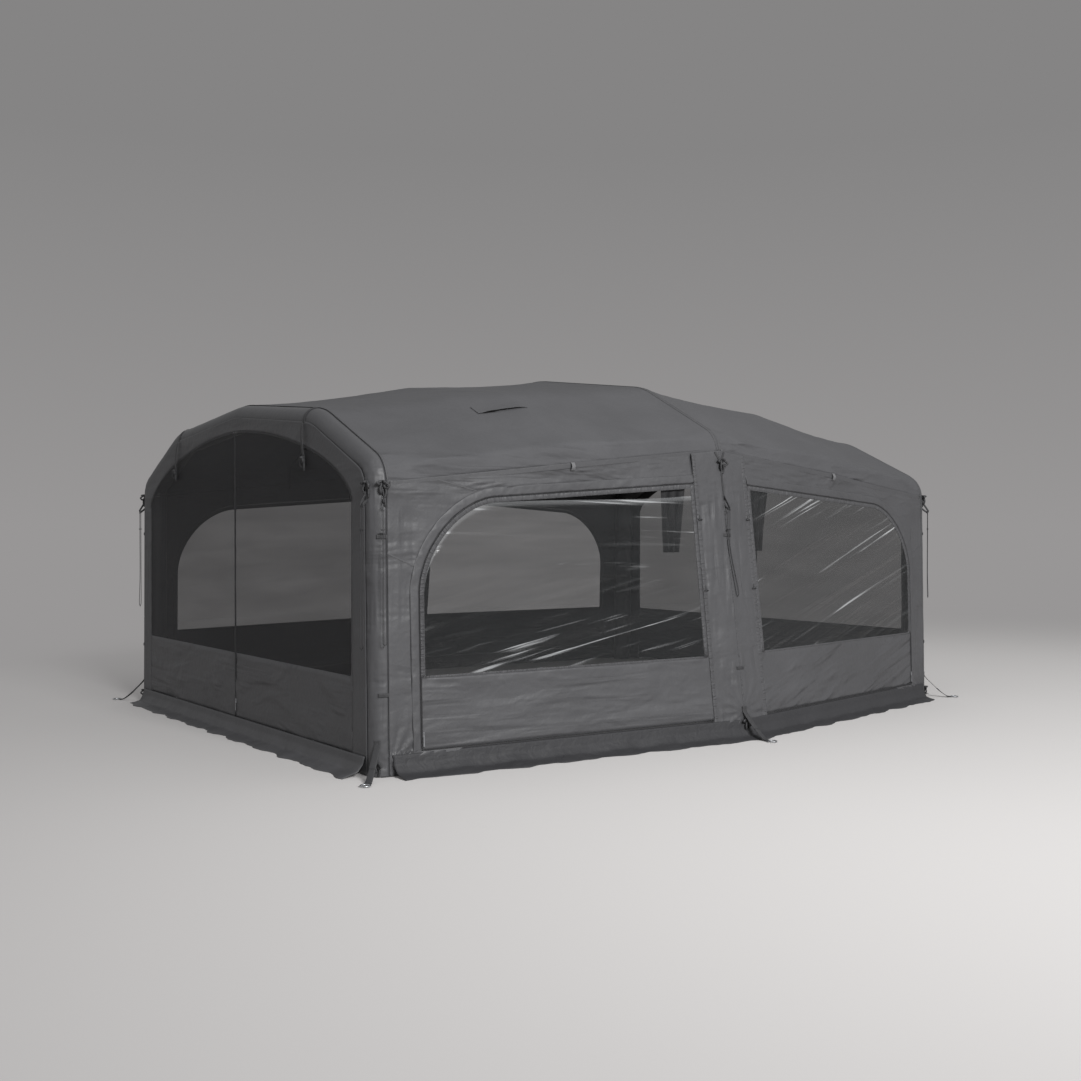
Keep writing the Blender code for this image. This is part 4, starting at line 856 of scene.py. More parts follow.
def woven_cloth(name, colour, roughness=0.52, crinkle=0.25, lean=0.0, shine=0.4):
    """Polyester Oxford, plain woven and coated on its back.

    The weave of about 0.4 mm can't show, so it is drawn at 4 mm and faintly. It gives a dull
    face broken by a fine crinkle, and a faint unevenness of dye. Where the crease attribute is
    above 0 the cloth is pulled into fine folds along the wall, and below 0 up the wall.
    """
    material, tree, shader = start_finish(name, colour, roughness)
    place = add_node(tree, "TexCoord").outputs["Object"]
    dye = add_node(tree, "TexNoise", {"Vector": place, "Scale": 3.0, "Detail": 3.0})
    light = add_node(tree, "MapRange", {
        "Value": dye, "From Min": 0.3, "From Max": 0.7, "To Min": 0.93, "To Max": 1.07,
    })
    shade = add_node(tree, "CombineColor", {0: light, 1: light, 2: light})
    dyed = add_node(tree, "Mix", {0: 1.0, 6: linear_colour(colour), 7: shade},
                    data_type="RGBA", blend_type="MULTIPLY")
    tree.links.new(dyed.outputs[2], shader.inputs["Base Color"])
    weave = add_node(tree, "TexNoise", {
        "Vector": place, "Scale": 250.0, "Detail": 2.0, "Roughness": 0.6,
    })
    crush = add_node(tree, "TexNoise", {
        "Vector": place, "Scale": 26.0, "Detail": 4.0, "Distortion": 0.6,
    })
    soft = add_node(tree, "Bump", {"Height": crush, "Strength": crinkle, "Distance": 0.012})
    patch = add_node(tree, "MapRange", {
        "Value": drawn_noise(tree, place, lean, 0.25, 0.6, 5.0), "From Min": 0.4,
        "From Max": 0.62, "To Min": 0.12,
    }, interpolation_type="SMOOTHSTEP")
    crease = add_node(tree, "Attribute", attribute_name="crease").outputs["Fac"]
    pull = add_node(tree, "Math", {0: crease, 1: patch}, operation="MULTIPLY")
    level = add_node(tree, "Math", {0: pull, 1: 0.0}, operation="MAXIMUM")
    upright = add_node(tree, "Math", {0: pull, 1: 0.0}, operation="MINIMUM")
    level_fold = add_node(tree, "Math", {
        0: level, 1: drawn_noise(tree, place, lean, 0.06, 0.55, detail=1.6),
    }, operation="MULTIPLY")
    both_folds = add_node(tree, "Math", {
        0: upright, 1: drawn_noise(tree, place, 0.0, 0.6, 0.06, detail=1.6), 2: level_fold,
    }, operation="MULTIPLY_ADD")
    pulled = add_node(tree, "Bump", {
        "Height": both_folds, "Strength": 1.0, "Distance": 0.042, "Normal": soft,
    })
    add_node(tree, "Bump", {
        "Height": weave, "Strength": 0.12, "Distance": 0.001, "Normal": pulled,
    }, feeds=shader.inputs["Normal"])
    add_node(tree, "MapRange", {
        "Value": dye, "To Min": roughness - 0.06, "To Max": roughness + 0.06,
    }, feeds=shader.inputs["Roughness"])
    shader.inputs["Specular IOR Level"].default_value = shine
    return material


def window_film(name, colour, cover, leans, along=0.9, shine=1.0):
    """Clear PVC film, calendered and about 0.5 mm thick.

    It lets most light through and veils what lies behind it. Its thin creases, where it is bent
    sharply, are painted lighter and more opaque: a painted highlight that stands in for the lamps
    reflected in them. The creases lean one way low on the pane and another way high on it.
    """
    material, tree, shader = start_finish(name, colour, 0.2)
    place = add_node(tree, "TexCoord").outputs["Object"]
    height = add_node(tree, "SeparateXYZ", {0: place}).outputs[2]
    high = add_node(tree, "MapRange", {
        "Value": height, "From Min": 0.9, "From Max": 1.15,
    }, interpolation_type="SMOOTHSTEP")
    fold, broad = (
        add_node(tree, "Mix", {
            0: high, 6: drawn_noise(tree, place, leans[0], wave, reach, shift),
            7: drawn_noise(tree, place, leans[1], wave, reach, shift + 7.0),
        }, data_type="RGBA").outputs[2]
        for wave, reach, shift in ((0.03, along, 0.0), (0.13, along * 1.5, 3.0))
    )
    sharp = add_node(tree, "MapRange", {
        "Value": fold, "From Min": 0.57, "From Max": 0.72,
    }, interpolation_type="SMOOTHSTEP")
    loose = add_node(tree, "MapRange", {
        "Value": broad, "From Min": 0.47, "From Max": 0.62, "To Min": 0.08,
    }, interpolation_type="SMOOTHSTEP")
    # The crease attribute marks the loose hem, where the painted highlight is made stronger
    hem = add_node(tree, "Attribute", attribute_name="crease").outputs["Fac"]
    loose, sharp = (
        add_node(tree, "Math", {0: hem, 1: gain, 2: start}, operation="MULTIPLY_ADD",
                 use_clamp=True)
        for gain, start in ((0.8, loose), (0.35, sharp))
    )
    # Mask of the painted highlight: thin sharp creases within the broad loose folds
    crease = add_node(tree, "Math", {0: sharp, 1: loose}, operation="MULTIPLY")
    haze = add_node(tree, "MapRange", {
        "Value": broad, "From Min": 0.35, "From Max": 0.65,
        "To Min": cover * 0.88, "To Max": cover * 1.14,
    })
    edge_on = add_node(tree, "LayerWeight", {"Blend": 0.35}).outputs["Facing"]
    veil = add_node(tree, "Math", {0: edge_on, 1: 0.15, 2: haze}, operation="MULTIPLY_ADD")
    # Alpha: the veil, raised along the creases as part of the painted highlight
    add_node(tree, "Math", {0: crease, 1: 0.34 * shine, 2: veil}, operation="MULTIPLY_ADD",
             use_clamp=True, feeds=shader.inputs["Alpha"])
    # Painted highlight: the creases are coloured towards the pale grey D8DADC, standing in for
    # reflected lamps
    painted_glint = add_node(tree, "Math", {0: crease, 1: 0.65 * shine}, operation="MULTIPLY")
    tones = add_node(tree, "Mix", {
        0: painted_glint, 6: linear_colour(colour), 7: linear_colour("D8DADC"),
    }, data_type="RGBA")
    tree.links.new(tones.outputs[2], shader.inputs["Base Color"])
    relief = add_node(tree, "Math", {0: fold, 1: 0.25, 2: broad}, operation="MULTIPLY_ADD")
    add_node(tree, "Bump", {"Height": relief, "Strength": 0.6 * shine, "Distance": 0.03},
             feeds=shader.inputs["Normal"])
    shader.inputs["Specular IOR Level"].default_value = 0.45
    return material


def puckered_hem(name, colour):
    """The same cloth where a zip is sewn to it: short folds across the hem, 1 to 3 cm apart."""
    material = woven_cloth(name, colour)
    tree = material.node_tree
    normal = tree.nodes["Principled BSDF"].inputs["Normal"]
    laid = add_node(tree, "Mapping", {
        "Vector": add_node(tree, "UVMap", uv_map="UVMap"), "Scale": (0.09, 0.02, 1.0),
    }, vector_type="TEXTURE")
    gather = add_node(tree, "TexNoise", {
        "Vector": laid, "Scale": 1.0, "Detail": 3.0, "Distortion": 0.8,
    })
    add_node(tree, "Bump", {
        "Height": gather, "Strength": 1.0, "Distance": 0.016,
        "Normal": normal.links[0].from_socket,
    }, feeds=normal)
    return material


def insect_mesh(name, colour, cover):
    """Knitted polyester no-see-um net, black, with holes under 1 mm.

    The holes can't show, so the net is one even veil that darkens what is behind it, a little
    denser along its soft folds.
    """
    material, tree, shader = start_finish(name, colour, 0.75)
    place = add_node(tree, "TexCoord").outputs["Object"]
    add_node(tree, "MapRange", {
        "Value": drawn_noise(tree, place, 1.1, 0.07, 0.9), "From Min": 0.4, "From Max": 0.75,
        "To Min": cover - 0.01, "To Max": cover + 0.07,
    }, feeds=shader.inputs["Alpha"])
    return material


STITCH_LENGTH = 0.006


def ribbed_tape(name, colour, rib=0.003, stitch=True):
    """Woven polyester webbing or binding: ribs across it, and light flecks of stitching.

    Ribs of about 1 mm are drawn at 3 mm so that they show close by.
    """
    material, tree, shader = start_finish(name, colour, 0.6)
    uv = add_node(tree, "UVMap", uv_map="UVMap")
    run = add_node(tree, "SeparateXYZ", {0: uv}).outputs[1]

    def wave(length):
        turn = add_node(tree, "Math", {0: run, 1: 2 * pi / length}, operation="MULTIPLY")
        return add_node(tree, "Math", {0: turn}, operation="SINE")

    add_node(tree, "Bump", {"Height": wave(rib), "Strength": 0.5, "Distance": 0.0006},
             feeds=shader.inputs["Normal"])
    if stitch:
        light = add_node(tree, "MapRange", {
            "Value": wave(STITCH_LENGTH), "From Min": 0.2, "From Max": 0.5, "To Max": 0.3,
        })
        tones = add_node(tree, "Mix", {
            0: light, 6: linear_colour(colour), 7: linear_colour("6E6E70"),
        }, data_type="RGBA")
        tree.links.new(tones.outputs[2], shader.inputs["Base Color"])
    return material


def enamelled_alloy(name, colour):
    """Die-cast zinc zip slider under black enamel: a smooth coat with lighter worn edges."""
    material, tree, shader = start_finish(name, colour, 0.32)
    worn = add_node(tree, "MapRange", {
        "Value": add_node(tree, "NewGeometry").outputs["Pointiness"], "From Min": 0.52,
        "From Max": 0.62, "To Max": 0.6,
    })
    tones = add_node(tree, "Mix", {
        0: worn, 6: linear_colour(colour), 7: linear_colour("8A8B8E"),
    }, data_type="RGBA")
    tree.links.new(tones.outputs[2], shader.inputs["Base Color"])
    shader.inputs["Coat Weight"].default_value = 0.4
    return material


def moulded_plastic(name, colour):
    """Injection-moulded nylon or acetal with a fine spark-eroded grain, drawn at 2 mm."""
    material, tree, shader = start_finish(name, colour, 0.42)
    place = add_node(tree, "TexCoord").outputs["Object"]
    grain = add_node(tree, "TexNoise", {"Vector": place, "Scale": 500.0, "Detail": 1.0})
    add_node(tree, "Bump", {"Height": grain, "Strength": 0.15, "Distance": 0.0005},
             feeds=shader.inputs["Normal"])
    return material


def pultruded_pole(name, colour):
    """Pultruded glass fibre rod: glossy resin over lengthwise fibres, with faint streaks."""
    material, tree, shader = start_finish(name, colour, 0.3)
    place = add_node(tree, "TexCoord").outputs["Object"]
    drawn = add_node(tree, "Mapping", {"Vector": place, "Scale": (400.0, 4.0, 400.0)})
    fibre = add_node(tree, "TexNoise", {"Vector": drawn, "Scale": 1.0})
    tones = add_node(tree, "Mix", {
        0: fibre, 6: linear_colour(colour), 7: linear_colour("3C3C3E"),
    }, data_type="RGBA")
    tree.links.new(tones.outputs[2], shader.inputs["Base Color"])
    return material


def plated_steel(name, colour):
    """Bent steel wire rings with a dull zinc plating, slightly cloudy."""
    material, tree, shader = start_finish(name, colour, 0.35, metallic=1.0)
    place = add_node(tree, "TexCoord").outputs["Object"]
    cloud = add_node(tree, "TexNoise", {"Vector": place, "Scale": 60.0, "Detail": 2.0})
    add_node(tree, "MapRange", {"Value": cloud, "To Min": 0.28, "To Max": 0.48},
             feeds=shader.inputs["Roughness"])
    return material


def braided_cord(name, colour):
    """Braided polyester cord of 4 mm with a core: a diagonal braid that reads as a fine check."""
    material, tree, shader = start_finish(name, colour, 0.7)
    laid = add_node(tree, "Mapping", {
        "Vector": add_node(tree, "UVMap", uv_map="UVMap"), "Rotation": (0.0, 0.0, pi / 4),
        "Scale": (400.0, 400.0, 1.0),
    })
    add_node(tree, "TexChecker", {
        "Vector": laid, "Color1": linear_colour(colour), "Color2": linear_colour("3A3A3C"),
        "Scale": 1.0,
    }, feeds=shader.inputs["Base Color"])
    return material


def bladder_film(name, colour):
    """Welded TPU film of the air tubes, milky and smooth."""
    material, _, shader = start_finish(name, colour, 0.3)
    shader.inputs["Specular IOR Level"].default_value = 0.6
    return material


FINISHES = {}


def make_finish(name):
    """The named material, made once."""
    if name not in FINISHES:
        cloth = dressing()
        film = (name, cloth.film_colour, cloth.film_cover)
        makers = {
            "cloth": lambda: woven_cloth("coated_cloth", cloth.cloth_colour),
            # The roof's cloth, lighter than the walls' as painted light
            "roof": lambda: woven_cloth("roof_cloth_painted_light", cloth.roof_painted_light_colour, 0.62, shine=0.12),
            "drawn": lambda: woven_cloth("drawn_cloth", cloth.cloth_colour, lean=0.3),
            "hem": lambda: puckered_hem("puckered_hem", cloth.cloth_colour),
            "tab": lambda: ribbed_tape("eave_tab", "666668", stitch=False),
            "sleeve": lambda: woven_cloth("sleeve_cloth", cloth.sleeve_colour, 0.5, 0.2),
            "skirt": lambda: woven_cloth("skirt_cloth", "353537", 0.6, 0.5, shine=0.25),
            "curtain": lambda: woven_cloth("curtain_cloth", "161618", 0.7, 0.3),
            # The film's shine, 1 unless given, sets how strong each pane's painted highlight along
            # its creases is, and its bump
            "film_left": lambda: window_film(*film, (0.2, -0.03)),
            "film_right": lambda: window_film(*film, (0.3, 0.34), 1.5, 1.35),
            "film_far": lambda: window_film(*film, (0.1, 0.05), shine=0.25),
            "mesh": lambda: insect_mesh("insect_mesh", "2A2A2C", cloth.mesh_cover),
            "webbing": lambda: ribbed_tape("webbing", cloth.webbing_colour),
            "seam": lambda: ribbed_tape("seam_tape", "444446", stitch=False),
            "zip_tape": lambda: ribbed_tape("zip_tape", "262628", 0.0022, stitch=False),
            "alloy": lambda: enamelled_alloy("enamelled_alloy", "1E1E20"),
            "plastic": lambda: moulded_plastic("moulded_plastic", "1B1B1D"),
            "pole": lambda: pultruded_pole("glass_fibre_pole", "242426"),
            "steel": lambda: plated_steel("plated_steel", "A9ABAE"),
            "cord": lambda: braided_cord("braided_cord", "19191B"),
            "bladder": lambda: bladder_film("bladder_film", "8C8C8E"),
        }
        FINISHES[name] = makers[name]()
    return FINISHES[name]


# Guy lines

CORD_RADIUS = 0.002


def leg_frame(side, end, angle, height):
    """The middle of a leg's tube, the level direction out of it and its face's distance."""
    if end:
        leg = corner_leg(side, end, height)
        azimuth = corner_azimuth(side, end, angle)
        face = FLAT_RADIUS - WEBBING_BITE
    else:
        leg = (0.0, 0.0)
        azimuth = atan2(side, 0.0)
        face = leg_half_width(MIDDLE_ARCH, height) - WEBBING_BITE
    return Vector((*leg, 0.0)), level_direction(azimuth), face


def line_frame(name):
    """The place under a tab's tip where its line starts, and the along and outward axes."""
    leg, outward, face = leg_frame(*LINE_PLACES[name], TAB_HEIGHT)
    height = TAB_HEIGHT - TAB_DROP - TAB_TIP - FIT_GAP
    return leg + UP * height + outward * (face + TAB_REACH), UP.cross(outward), outward


def knot_shape(centre, along, outward, size):
    """An overhand knot: a three-lobed loop of the same cord, with its tail."""
    up = along.cross(outward)
    points = []
    for step in range(45):
        t = 0.25 + 2 * pi * step / 46
        across = (sin(t) + 2 * sin(2 * t)) * size
        rise = (cos(t) - 2 * cos(2 * t)) * size
        points.append(centre + along * across + up * rise - outward * (sin(3 * t) * size))
    tail = points[-1] + along * size * 0.4
    points += [tail + up * (-0.012 * step / 6) for step in range(1, 7)]
    return tube_shape(points, CORD_RADIUS * 0.9, 8)


def make_guy_line(name):
    """One folded guy line through its tab's eye, tied off beside it."""
    start, along, outward = line_frame(name)
    route = [start + along * across + outward * out + UP * rise
             for across, out, rise in LINE_ROUTES[name]]
    points = smooth_route(route, 0.012)
    line = finish_shape(tube_shape(points, CORD_RADIUS, 8), "cord_" + name, "cord",
                        nodes=["guy_line_" + name], slot="cord")
    centre = start + along * STRAND_SPREAD + UP * 0.001
    knot = finish_shape(knot_shape(centre, along, outward, 0.0021), "knot_" + name, "cord",
                        slot="cord")


# Air beams

BEAMS = {
    "left": (END_ARCH, -BEAM_X),
    "middle": (MIDDLE_ARCH, 0.0),
    "right": (END_ARCH, BEAM_X),
}


def beam_track(arch):
    """The tube's centre line with its outward normals."""
    return Track(
        [point - normal * BEAM_INSET for point, normal in OUTLINES[arch]],
        carried=[[normal for _, normal in OUTLINES[arch]]],
    )


def bend_at(track, share):
    """How sharply the tube bends, in radians a metre."""
    step = 0.03
    before = track.at(share - step / track.length)[1]
    after = track.at(share + step / track.length)[1]
    return before.angle(after) / (2 * step)


def beam_place(track, beam_x, radius, foot, creased):
    """place(u, v) round and along a tube, with folds on the inside of its bends."""
    bends = [bend_at(track, index / 400) for index in range(401)]

    def place(u, v):
        centre, normal = track.at(v)
        normal = normal.normalized()
        angle = 2 * pi * u
        spoke = Vector((sin(angle), *(normal * cos(angle))))
        point = Vector((beam_x, *centre)) + spoke * radius
        point.z = max(point.z, foot)
        run = v * track.length
        inside = ((1 - cos(angle)) / 2) ** 1.5
        pinch = abs(cos(pi * run / 0.042 + 0.6 * sin(angle))) ** 6
        height = -min(bends[round(v * 400)] * 0.0009, 0.008) * inside * pinch * creased
        soft = streaks(angle * 0.08, run, 0.3, 0.09, 3.0, 5 + beam_x)
        leg = smooth_share((1.75 - point.z) / 0.2)
        upright = creases(angle * 0.08, run, pi / 2, 0.034, 7.0, 7 + beam_x)
        height += (0.0012 * (soft - 1) - 0.0026 * upright * leg) * creased
        return point, spoke, height, -0.5 * leg

    return place


def make_beam(which):
    """A bladder and its fabric sleeve."""
    arch, beam_x = BEAMS[which]
    track = beam_track(arch)
    valve = valve_matrix(arch, beam_x)
    shape, _ = grid_shape(
        24, round(track.length / 0.06),
        beam_place(track, beam_x, BLADDER_RADIUS - 0.004, 0.008, 0.0),
        (2 * pi * BLADDER_RADIUS, track.length), closed=True,
    )
    bmesh.ops.holes_fill(shape, edges=[edge for edge in shape.edges if edge.is_boundary])
    depth = 0.06
    top = SLEEVE_RADIUS + VALVE_NECK_STAND_OUT
    neck = cone_shape(valve @ Matrix.Translation(UP * (top - depth / 2)), 32,
                      VALVE_NECK_RADIUS, VALVE_NECK_RADIUS, depth)
    whole = join_shapes([shape, neck])
    bmesh.ops.recalc_face_normals(whole, faces=whole.faces)
    bladder = finish_shape(whole, f"bladder_{which}", "bladder",
                           nodes=[f"air_bladder_{which}"], slot="bladder")
    shape, area = grid_shape(
        48, round(track.length / 0.011), beam_place(track, beam_x, SLEEVE_RADIUS, 0.0005, 1.0),
        (2 * pi * SLEEVE_RADIUS, track.length), closed=True,
    )
    bmesh.ops.recalc_face_normals(shape, faces=shape.faces)
    port = valve @ Vector((0.0, 0.0, SLEEVE_RADIUS))
    cut = [face for face in shape.faces
           if (face.calc_center_median() - port).length < VALVE_NECK_RADIUS + 0.006]
    bmesh.ops.delete(shape, geom=cut, context="FACES")
    sleeve = finish_shape(shape, f"sleeve_{which}", "sleeve", nodes=[f"beam_sleeve_{which}"],
                          slot="sleeve", thickness=SLEEVE_CLOTH)
    flange = cone_shape(valve @ Matrix.Translation(UP * (SLEEVE_RADIUS - 0.001)), 40, 0.032,
                        0.028, 0.004)
    finish_shape(flange, f"valve_flange_{which}", "plastic", slot="plastic")


# Roof

def roof_surface(round_share, share, end):
    """A point of the roof, its outward direction, its folds and its pull."""
    point, direction = roof_place(round_share, share, end)
    across, along = round_share * CANOPY_TRACK.length, share * BEAM_X
    from_eave = min(across, CANOPY_TRACK.length - across)
    edge = smooth_share(from_eave / 0.1) * smooth_share(min(along, BEAM_X - along) / 0.14)
    low = 1 - smooth_share((from_eave - 0.05) / 0.22)
    return point, direction, roof_relief(across, along, end) * edge, 0.15 + 0.6 * low


def snapped(count, marks):
    """Even shares from 0 to 1 in count steps, the nearest one moved onto each mark."""
    shares = [step / count for step in range(count + 1)]
    for mark in marks:
        shares[round(mark * count)] = mark
    return shares


def vent_span():
    """The vent's slot as shares of the roof: round from, round to, along from, along to."""
    eave = len(CANOPY_TRACK.reach) - 1 - BEND_STEPS
    low, high = (CANOPY_TRACK.reach[index] / CANOPY_TRACK.length for index in (eave, eave - 1))
    middle = blend(low, high, VENT_SLOPE_SHARE)
    half_round = VENT_SLOT / 2 / CANOPY_TRACK.length
    half_along = VENT_LENGTH / 2 / BEAM_X
    return (middle - half_round, middle + half_round,
            VENT_BAY_SHARE - half_along, VENT_BAY_SHARE + half_along)


def make_canopy(end):
    """The roof of one bay, from eave to eave, with the vent's slot in the left one."""
    name = END_NAMES[end]
    columns, rows = 264, 112
    span = vent_span()
    marks = span if end == LEFT else ()
    around, along = snapped(columns, marks[:2]), snapped(rows, marks[2:])

    def place(u, v):
        return roof_surface(around[round(u * columns)], along[round(v * rows)], end)

    size = (CANOPY_TRACK.length, BEAM_X)
    shape, area = grid_shape(columns, rows, place, size)
    if end == LEFT:
        low = roof_point(span[0], span[2], end)
        high = roof_point(span[1], span[3], end)
        inside = []
        for face in shape.faces:
            centre = face.calc_center_median()
            if (min(low.x, high.x) < centre.x < max(low.x, high.x)
                    and min(low.y, high.y) < centre.y < max(low.y, high.y) and centre.z > 1.7):
                inside.append(face)
        bmesh.ops.delete(shape, geom=inside, context="FACES")
    face_outwards(shape, UP)
    canopy = finish_shape(shape, f"roof_{name}", "roof", nodes=[f"canopy_{name}"],
                          thickness=dressing().cloth_thickness)


def make_vent_flap():
    """The flap over the vent, stiffened at its open lower edge so that it stands proud."""
    span = vent_span()
    half_round = VENT_FLAP_WIDTH / 2 / CANOPY_TRACK.length
    half_along = VENT_FLAP_LENGTH / 2 / BEAM_X
    middle = (span[0] + span[1]) / 2

    def place(u, v):
        share = VENT_BAY_SHARE + half_along * (2 * u - 1)
        round_share = middle + half_round * (1 - 2 * v)
        point, direction = roof_place(round_share, share, LEFT)
        open_lip = 0.009 * edge_fade(u, 1.0, 0.25) * (1 - v) ** 2
        return point, direction, 0.0052 + open_lip + 0.0012 * streaks(u, v, 0.2, 0.2, 2.0, 4)

    size = (VENT_FLAP_LENGTH, VENT_FLAP_WIDTH)
    flap, area = make_sheet("vent_flap_cloth", "roof", (40, 12), size, place, UP,
                            body="vent_flap", nodes=["roof_vent_flap"])


# Side walls

PANEL_SEAM_HEIGHTS = (1.05, 1.44)
PANEL_SEAM_TOP = 2.02


def frame_track(side, end):
    """The opening's edge and the frame's outer edge, read together by share of length."""
    pillar_edge = PILLAR_HALF_WIDTH + FIT_GAP
    inner = [wall_point(distance, height, side, end)
             for distance, height in side_opening(0.0, SIDE_OPENING_SILL, pillar_edge)]
    return Track(inner, frame_outer_edge(side, end, pillar_edge))


def frame_surface(track, u, v, side, end):
    """A point of the frame along and across its border, its direction, lift and pull."""
    point, edge = border_point(track, u, v, 0.03)
    edge *= edge_fade(u, track.length, 0.04)
    distance = abs(point.x)
    high = smooth_share((point.z - 1.3) / 0.25)
    lift = blend(wall_relief(distance, point.z, side, end),
                 header_relief(distance, v, side, end), high)
    upright = -0.45 * smooth_share((distance - SIDE_OPENING_FAR_EDGE + 0.05) / 0.1)
    pull = 0.4 if point.z < SIDE_OPENING_SILL else blend(upright, 1.0, high)
    return point, sideways(side), lift * edge, pull


def sew_corner(side, end):
    """The seams that join the corner panel to the jamb and to the header."""
    track = frame_track(side, end)
    shares = [step / 400 for step in range(401)]
    jamb, arch = (next(share for share in shares if track.at(share)[0].z > height)
                  for height in PANEL_SEAM_HEIGHTS)
    eave = next(share for share in shares
                if share > jamb and abs(track.at(share)[1].x) < PANEL_SEAM_TOP)
    tapes = [
        tape_over([frame_surface(track, blend(start, stop, step / 30),
                                 blend(0.1, 1.0, step / 30), side, end) for step in range(31)],
                  dressing().seam_width * 0.6)
        for start, stop in ((jamb, jamb), (arch, eave))
    ]
    finish_shape(join_shapes(tapes), f"corner_seams_{wall_name(side, end)}", "seam")


def make_wall_frame(side, end):
    """Sill, corner panel and header round a side door, tensioned to the arches."""
    where = wall_name(side, end)
    track = frame_track(side, end)
    frame_piece, area = make_sheet(
        f"frame_{where}", "cloth", (340, 20), (track.length, 0.3),
        lambda u, v: frame_surface(track, u, v, side, end), sideways(side),
        nodes=[f"wall_frame_{where}"], thickness=dressing().cloth_thickness,
    )


def pillar_surface(across, height, side):
    """A point of the middle pillar's cover, at a signed distance along the wall."""
    point = wall_point(abs(across), height, side, bay_of(across))
    seed = 150 + 9 * side
    edge = smooth_share((PILLAR_HALF_WIDTH - abs(across)) / 0.03)
    seam_fade = smooth_share(abs(across) / 0.03)
    broad = streaks(across, height, 1.5, 0.16, 3.0, seed)
    fine = streaks(across, height, 1.2, 0.05, 4.0, seed + 3)
    foot = hypot(across, height - STRAP_HEIGHT)
    turn = atan2(height - STRAP_HEIGHT, across)
    gather = exp(-foot / 0.2) * cos(14 * turn) * smooth_share(foot / 0.03)
    lift = dressing().fold_depth * (0.5 * broad + 0.3 * fine + 1.3 * gather) + 0.001
    return point, sideways(side), max(lift, -0.0008) * edge * seam_fade


def pillar_top(across, side):
    return eave_point(1 - abs(across) / BEAM_X, side, bay_of(across)).z - SEAM_GAP


def make_pillar(side):
    """The cover over the middle leg, from the floor to the eaves."""
    name = SIDE_NAMES[side]

    def place(u, v):
        across = PILLAR_HALF_WIDTH * (2 * u - 1)
        height = blend(FLOOR_GAP, pillar_top(across, side), v)
        point, direction, lift = pillar_surface(across, height, side)
        return point, direction, lift * edge_fade(v, 1.8, 0.04), -0.5

    size = (2 * PILLAR_HALF_WIDTH, 1.9)
    pillar, area = make_sheet(
        f"pillar_{name}", "cloth", (48, 150), size, place, sideways(side),
        nodes=[f"middle_pillar_{name}"], thickness=dressing().cloth_thickness,
    )


# Side doors

HINGE_EDGE = PILLAR_HALF_WIDTH + ZIP_GAP
FILM_DROOP = 0.045


def closed_outline(opening, inset, sill, straight_edge):
    """An opening's outline as a closed loop, with steps down its straight edge."""
    outline = opening(inset, sill, straight_edge)
    top = outline[-1][1]
    return outline + [(straight_edge, height) for height in (*spaced(top, sill)[1:], sill)]


def make_side_panel(side, end):
    """The leaf's border and lower panel."""
    where = wall_name(side, end)
    track = Track(*(
        [wall_point(distance, height, side, end)
         for distance, height in closed_outline(side_opening, *edge)]
        for edge in ((ZIP_GAP, SIDE_OPENING_SILL + ZIP_GAP, HINGE_EDGE),
                     (DOOR_BORDER, LOWER_PANEL_TOP, HINGE_EDGE + DOOR_BORDER))
    ))
    depth = dressing().fold_depth
    seed = place_seed(side, end) + 200
    slant, pull = (-0.1, 0.42) if end == LEFT else (0.3, 0.8)

    def place(u, v):
        point, edge = border_point(track, u, v, 0.03)
        broad = streaks(abs(point.x), point.z, slant, 0.13, 3.5, seed)
        fine = streaks(abs(point.x), point.z, slant + 0.25, 0.045, 5.0, seed + 3)
        return point, sideways(side), depth * (0.8 * broad + 0.4 * fine) * edge, pull

    panel, area = make_sheet(
        f"side_panel_{where}", "drawn" if (side, end) == (NEAR, RIGHT) else "cloth", (420, 18),
        (track.length, 0.4), place, sideways(side), closed=True, body=f"side_door_{where}",
        nodes=[f"side_door_{where}_panel"], thickness=dressing().cloth_thickness,
    )


def film_columns(count):
    """Distances from the middle arch of the film's columns, closer together at its arch."""
    arch_start = SIDE_OPENING_FAR_EDGE - SIDE_ARCH_RUN
    straight = round(count * 0.68)
    near_edge = HINGE_EDGE + DOOR_BORDER + FIT_GAP
    columns = spaced(near_edge, arch_start, straight)
    curved = count - straight
    run = SIDE_ARCH_RUN - DOOR_BORDER - FIT_GAP
    columns += [arch_start + run * sin(pi / 2 * step / curved) for step in range(curved + 1)]
    return columns


def film_surface(distance, share, side, end):
    """A point of the window film, its direction, lift and crease at the loose hem."""
    drooping = (side, end) == (NEAR, LEFT)
    inset = DOOR_BORDER + FIT_GAP
    foot = LOWER_PANEL_TOP + FIT_GAP
    head = opening_head(distance, inset)
    if drooping:
        head -= FILM_DROOP * smooth_share((1.7 - distance) / 1.3)
    height = blend(foot, head, share)
    room = min(distance - HINGE_EDGE - inset, SIDE_OPENING_FAR_EDGE - inset - distance,
               height - foot, head - height)
    lift = film_relief(distance, height, side, end)
    tail = smooth_share((0.62 - distance) / 0.1) * smooth_share((height - 1.02) / 0.1)
    lift = blend(lift, abs(lift) * 0.5, tail) * smooth_share(room / 0.05)
    # The hem's crease makes the film's painted highlight stronger along the loose hem
    hem = smooth_share((share - 0.955) / 0.03) if drooping else 0.0
    return wall_point(distance, height, side, end), sideways(side), lift, hem


def make_side_window(side, end):
    """The wrinkled film pane of a side door."""
    where = wall_name(side, end)
    count, rows = (176, 92) if side == NEAR else (110, 56)
    columns = film_columns(count)
    size = (columns[-1] - columns[0], 1.02)
    film, area = make_sheet(
        f"side_film_{where}", f"film_{END_NAMES[end]}" if side == NEAR else "film_far",
        (count, rows), size, lambda u, v: film_surface(columns[round(u * count)], v, side, end),
        sideways(side), body=f"side_door_{where}", nodes=[f"side_door_{where}_window"],
        slot="film",
    )


# Ends

NET_BORDER = 0.012


def end_point(across, height, end, lift=0.0):
    return Vector((end * (BAY_LENGTH + lift), across, height))


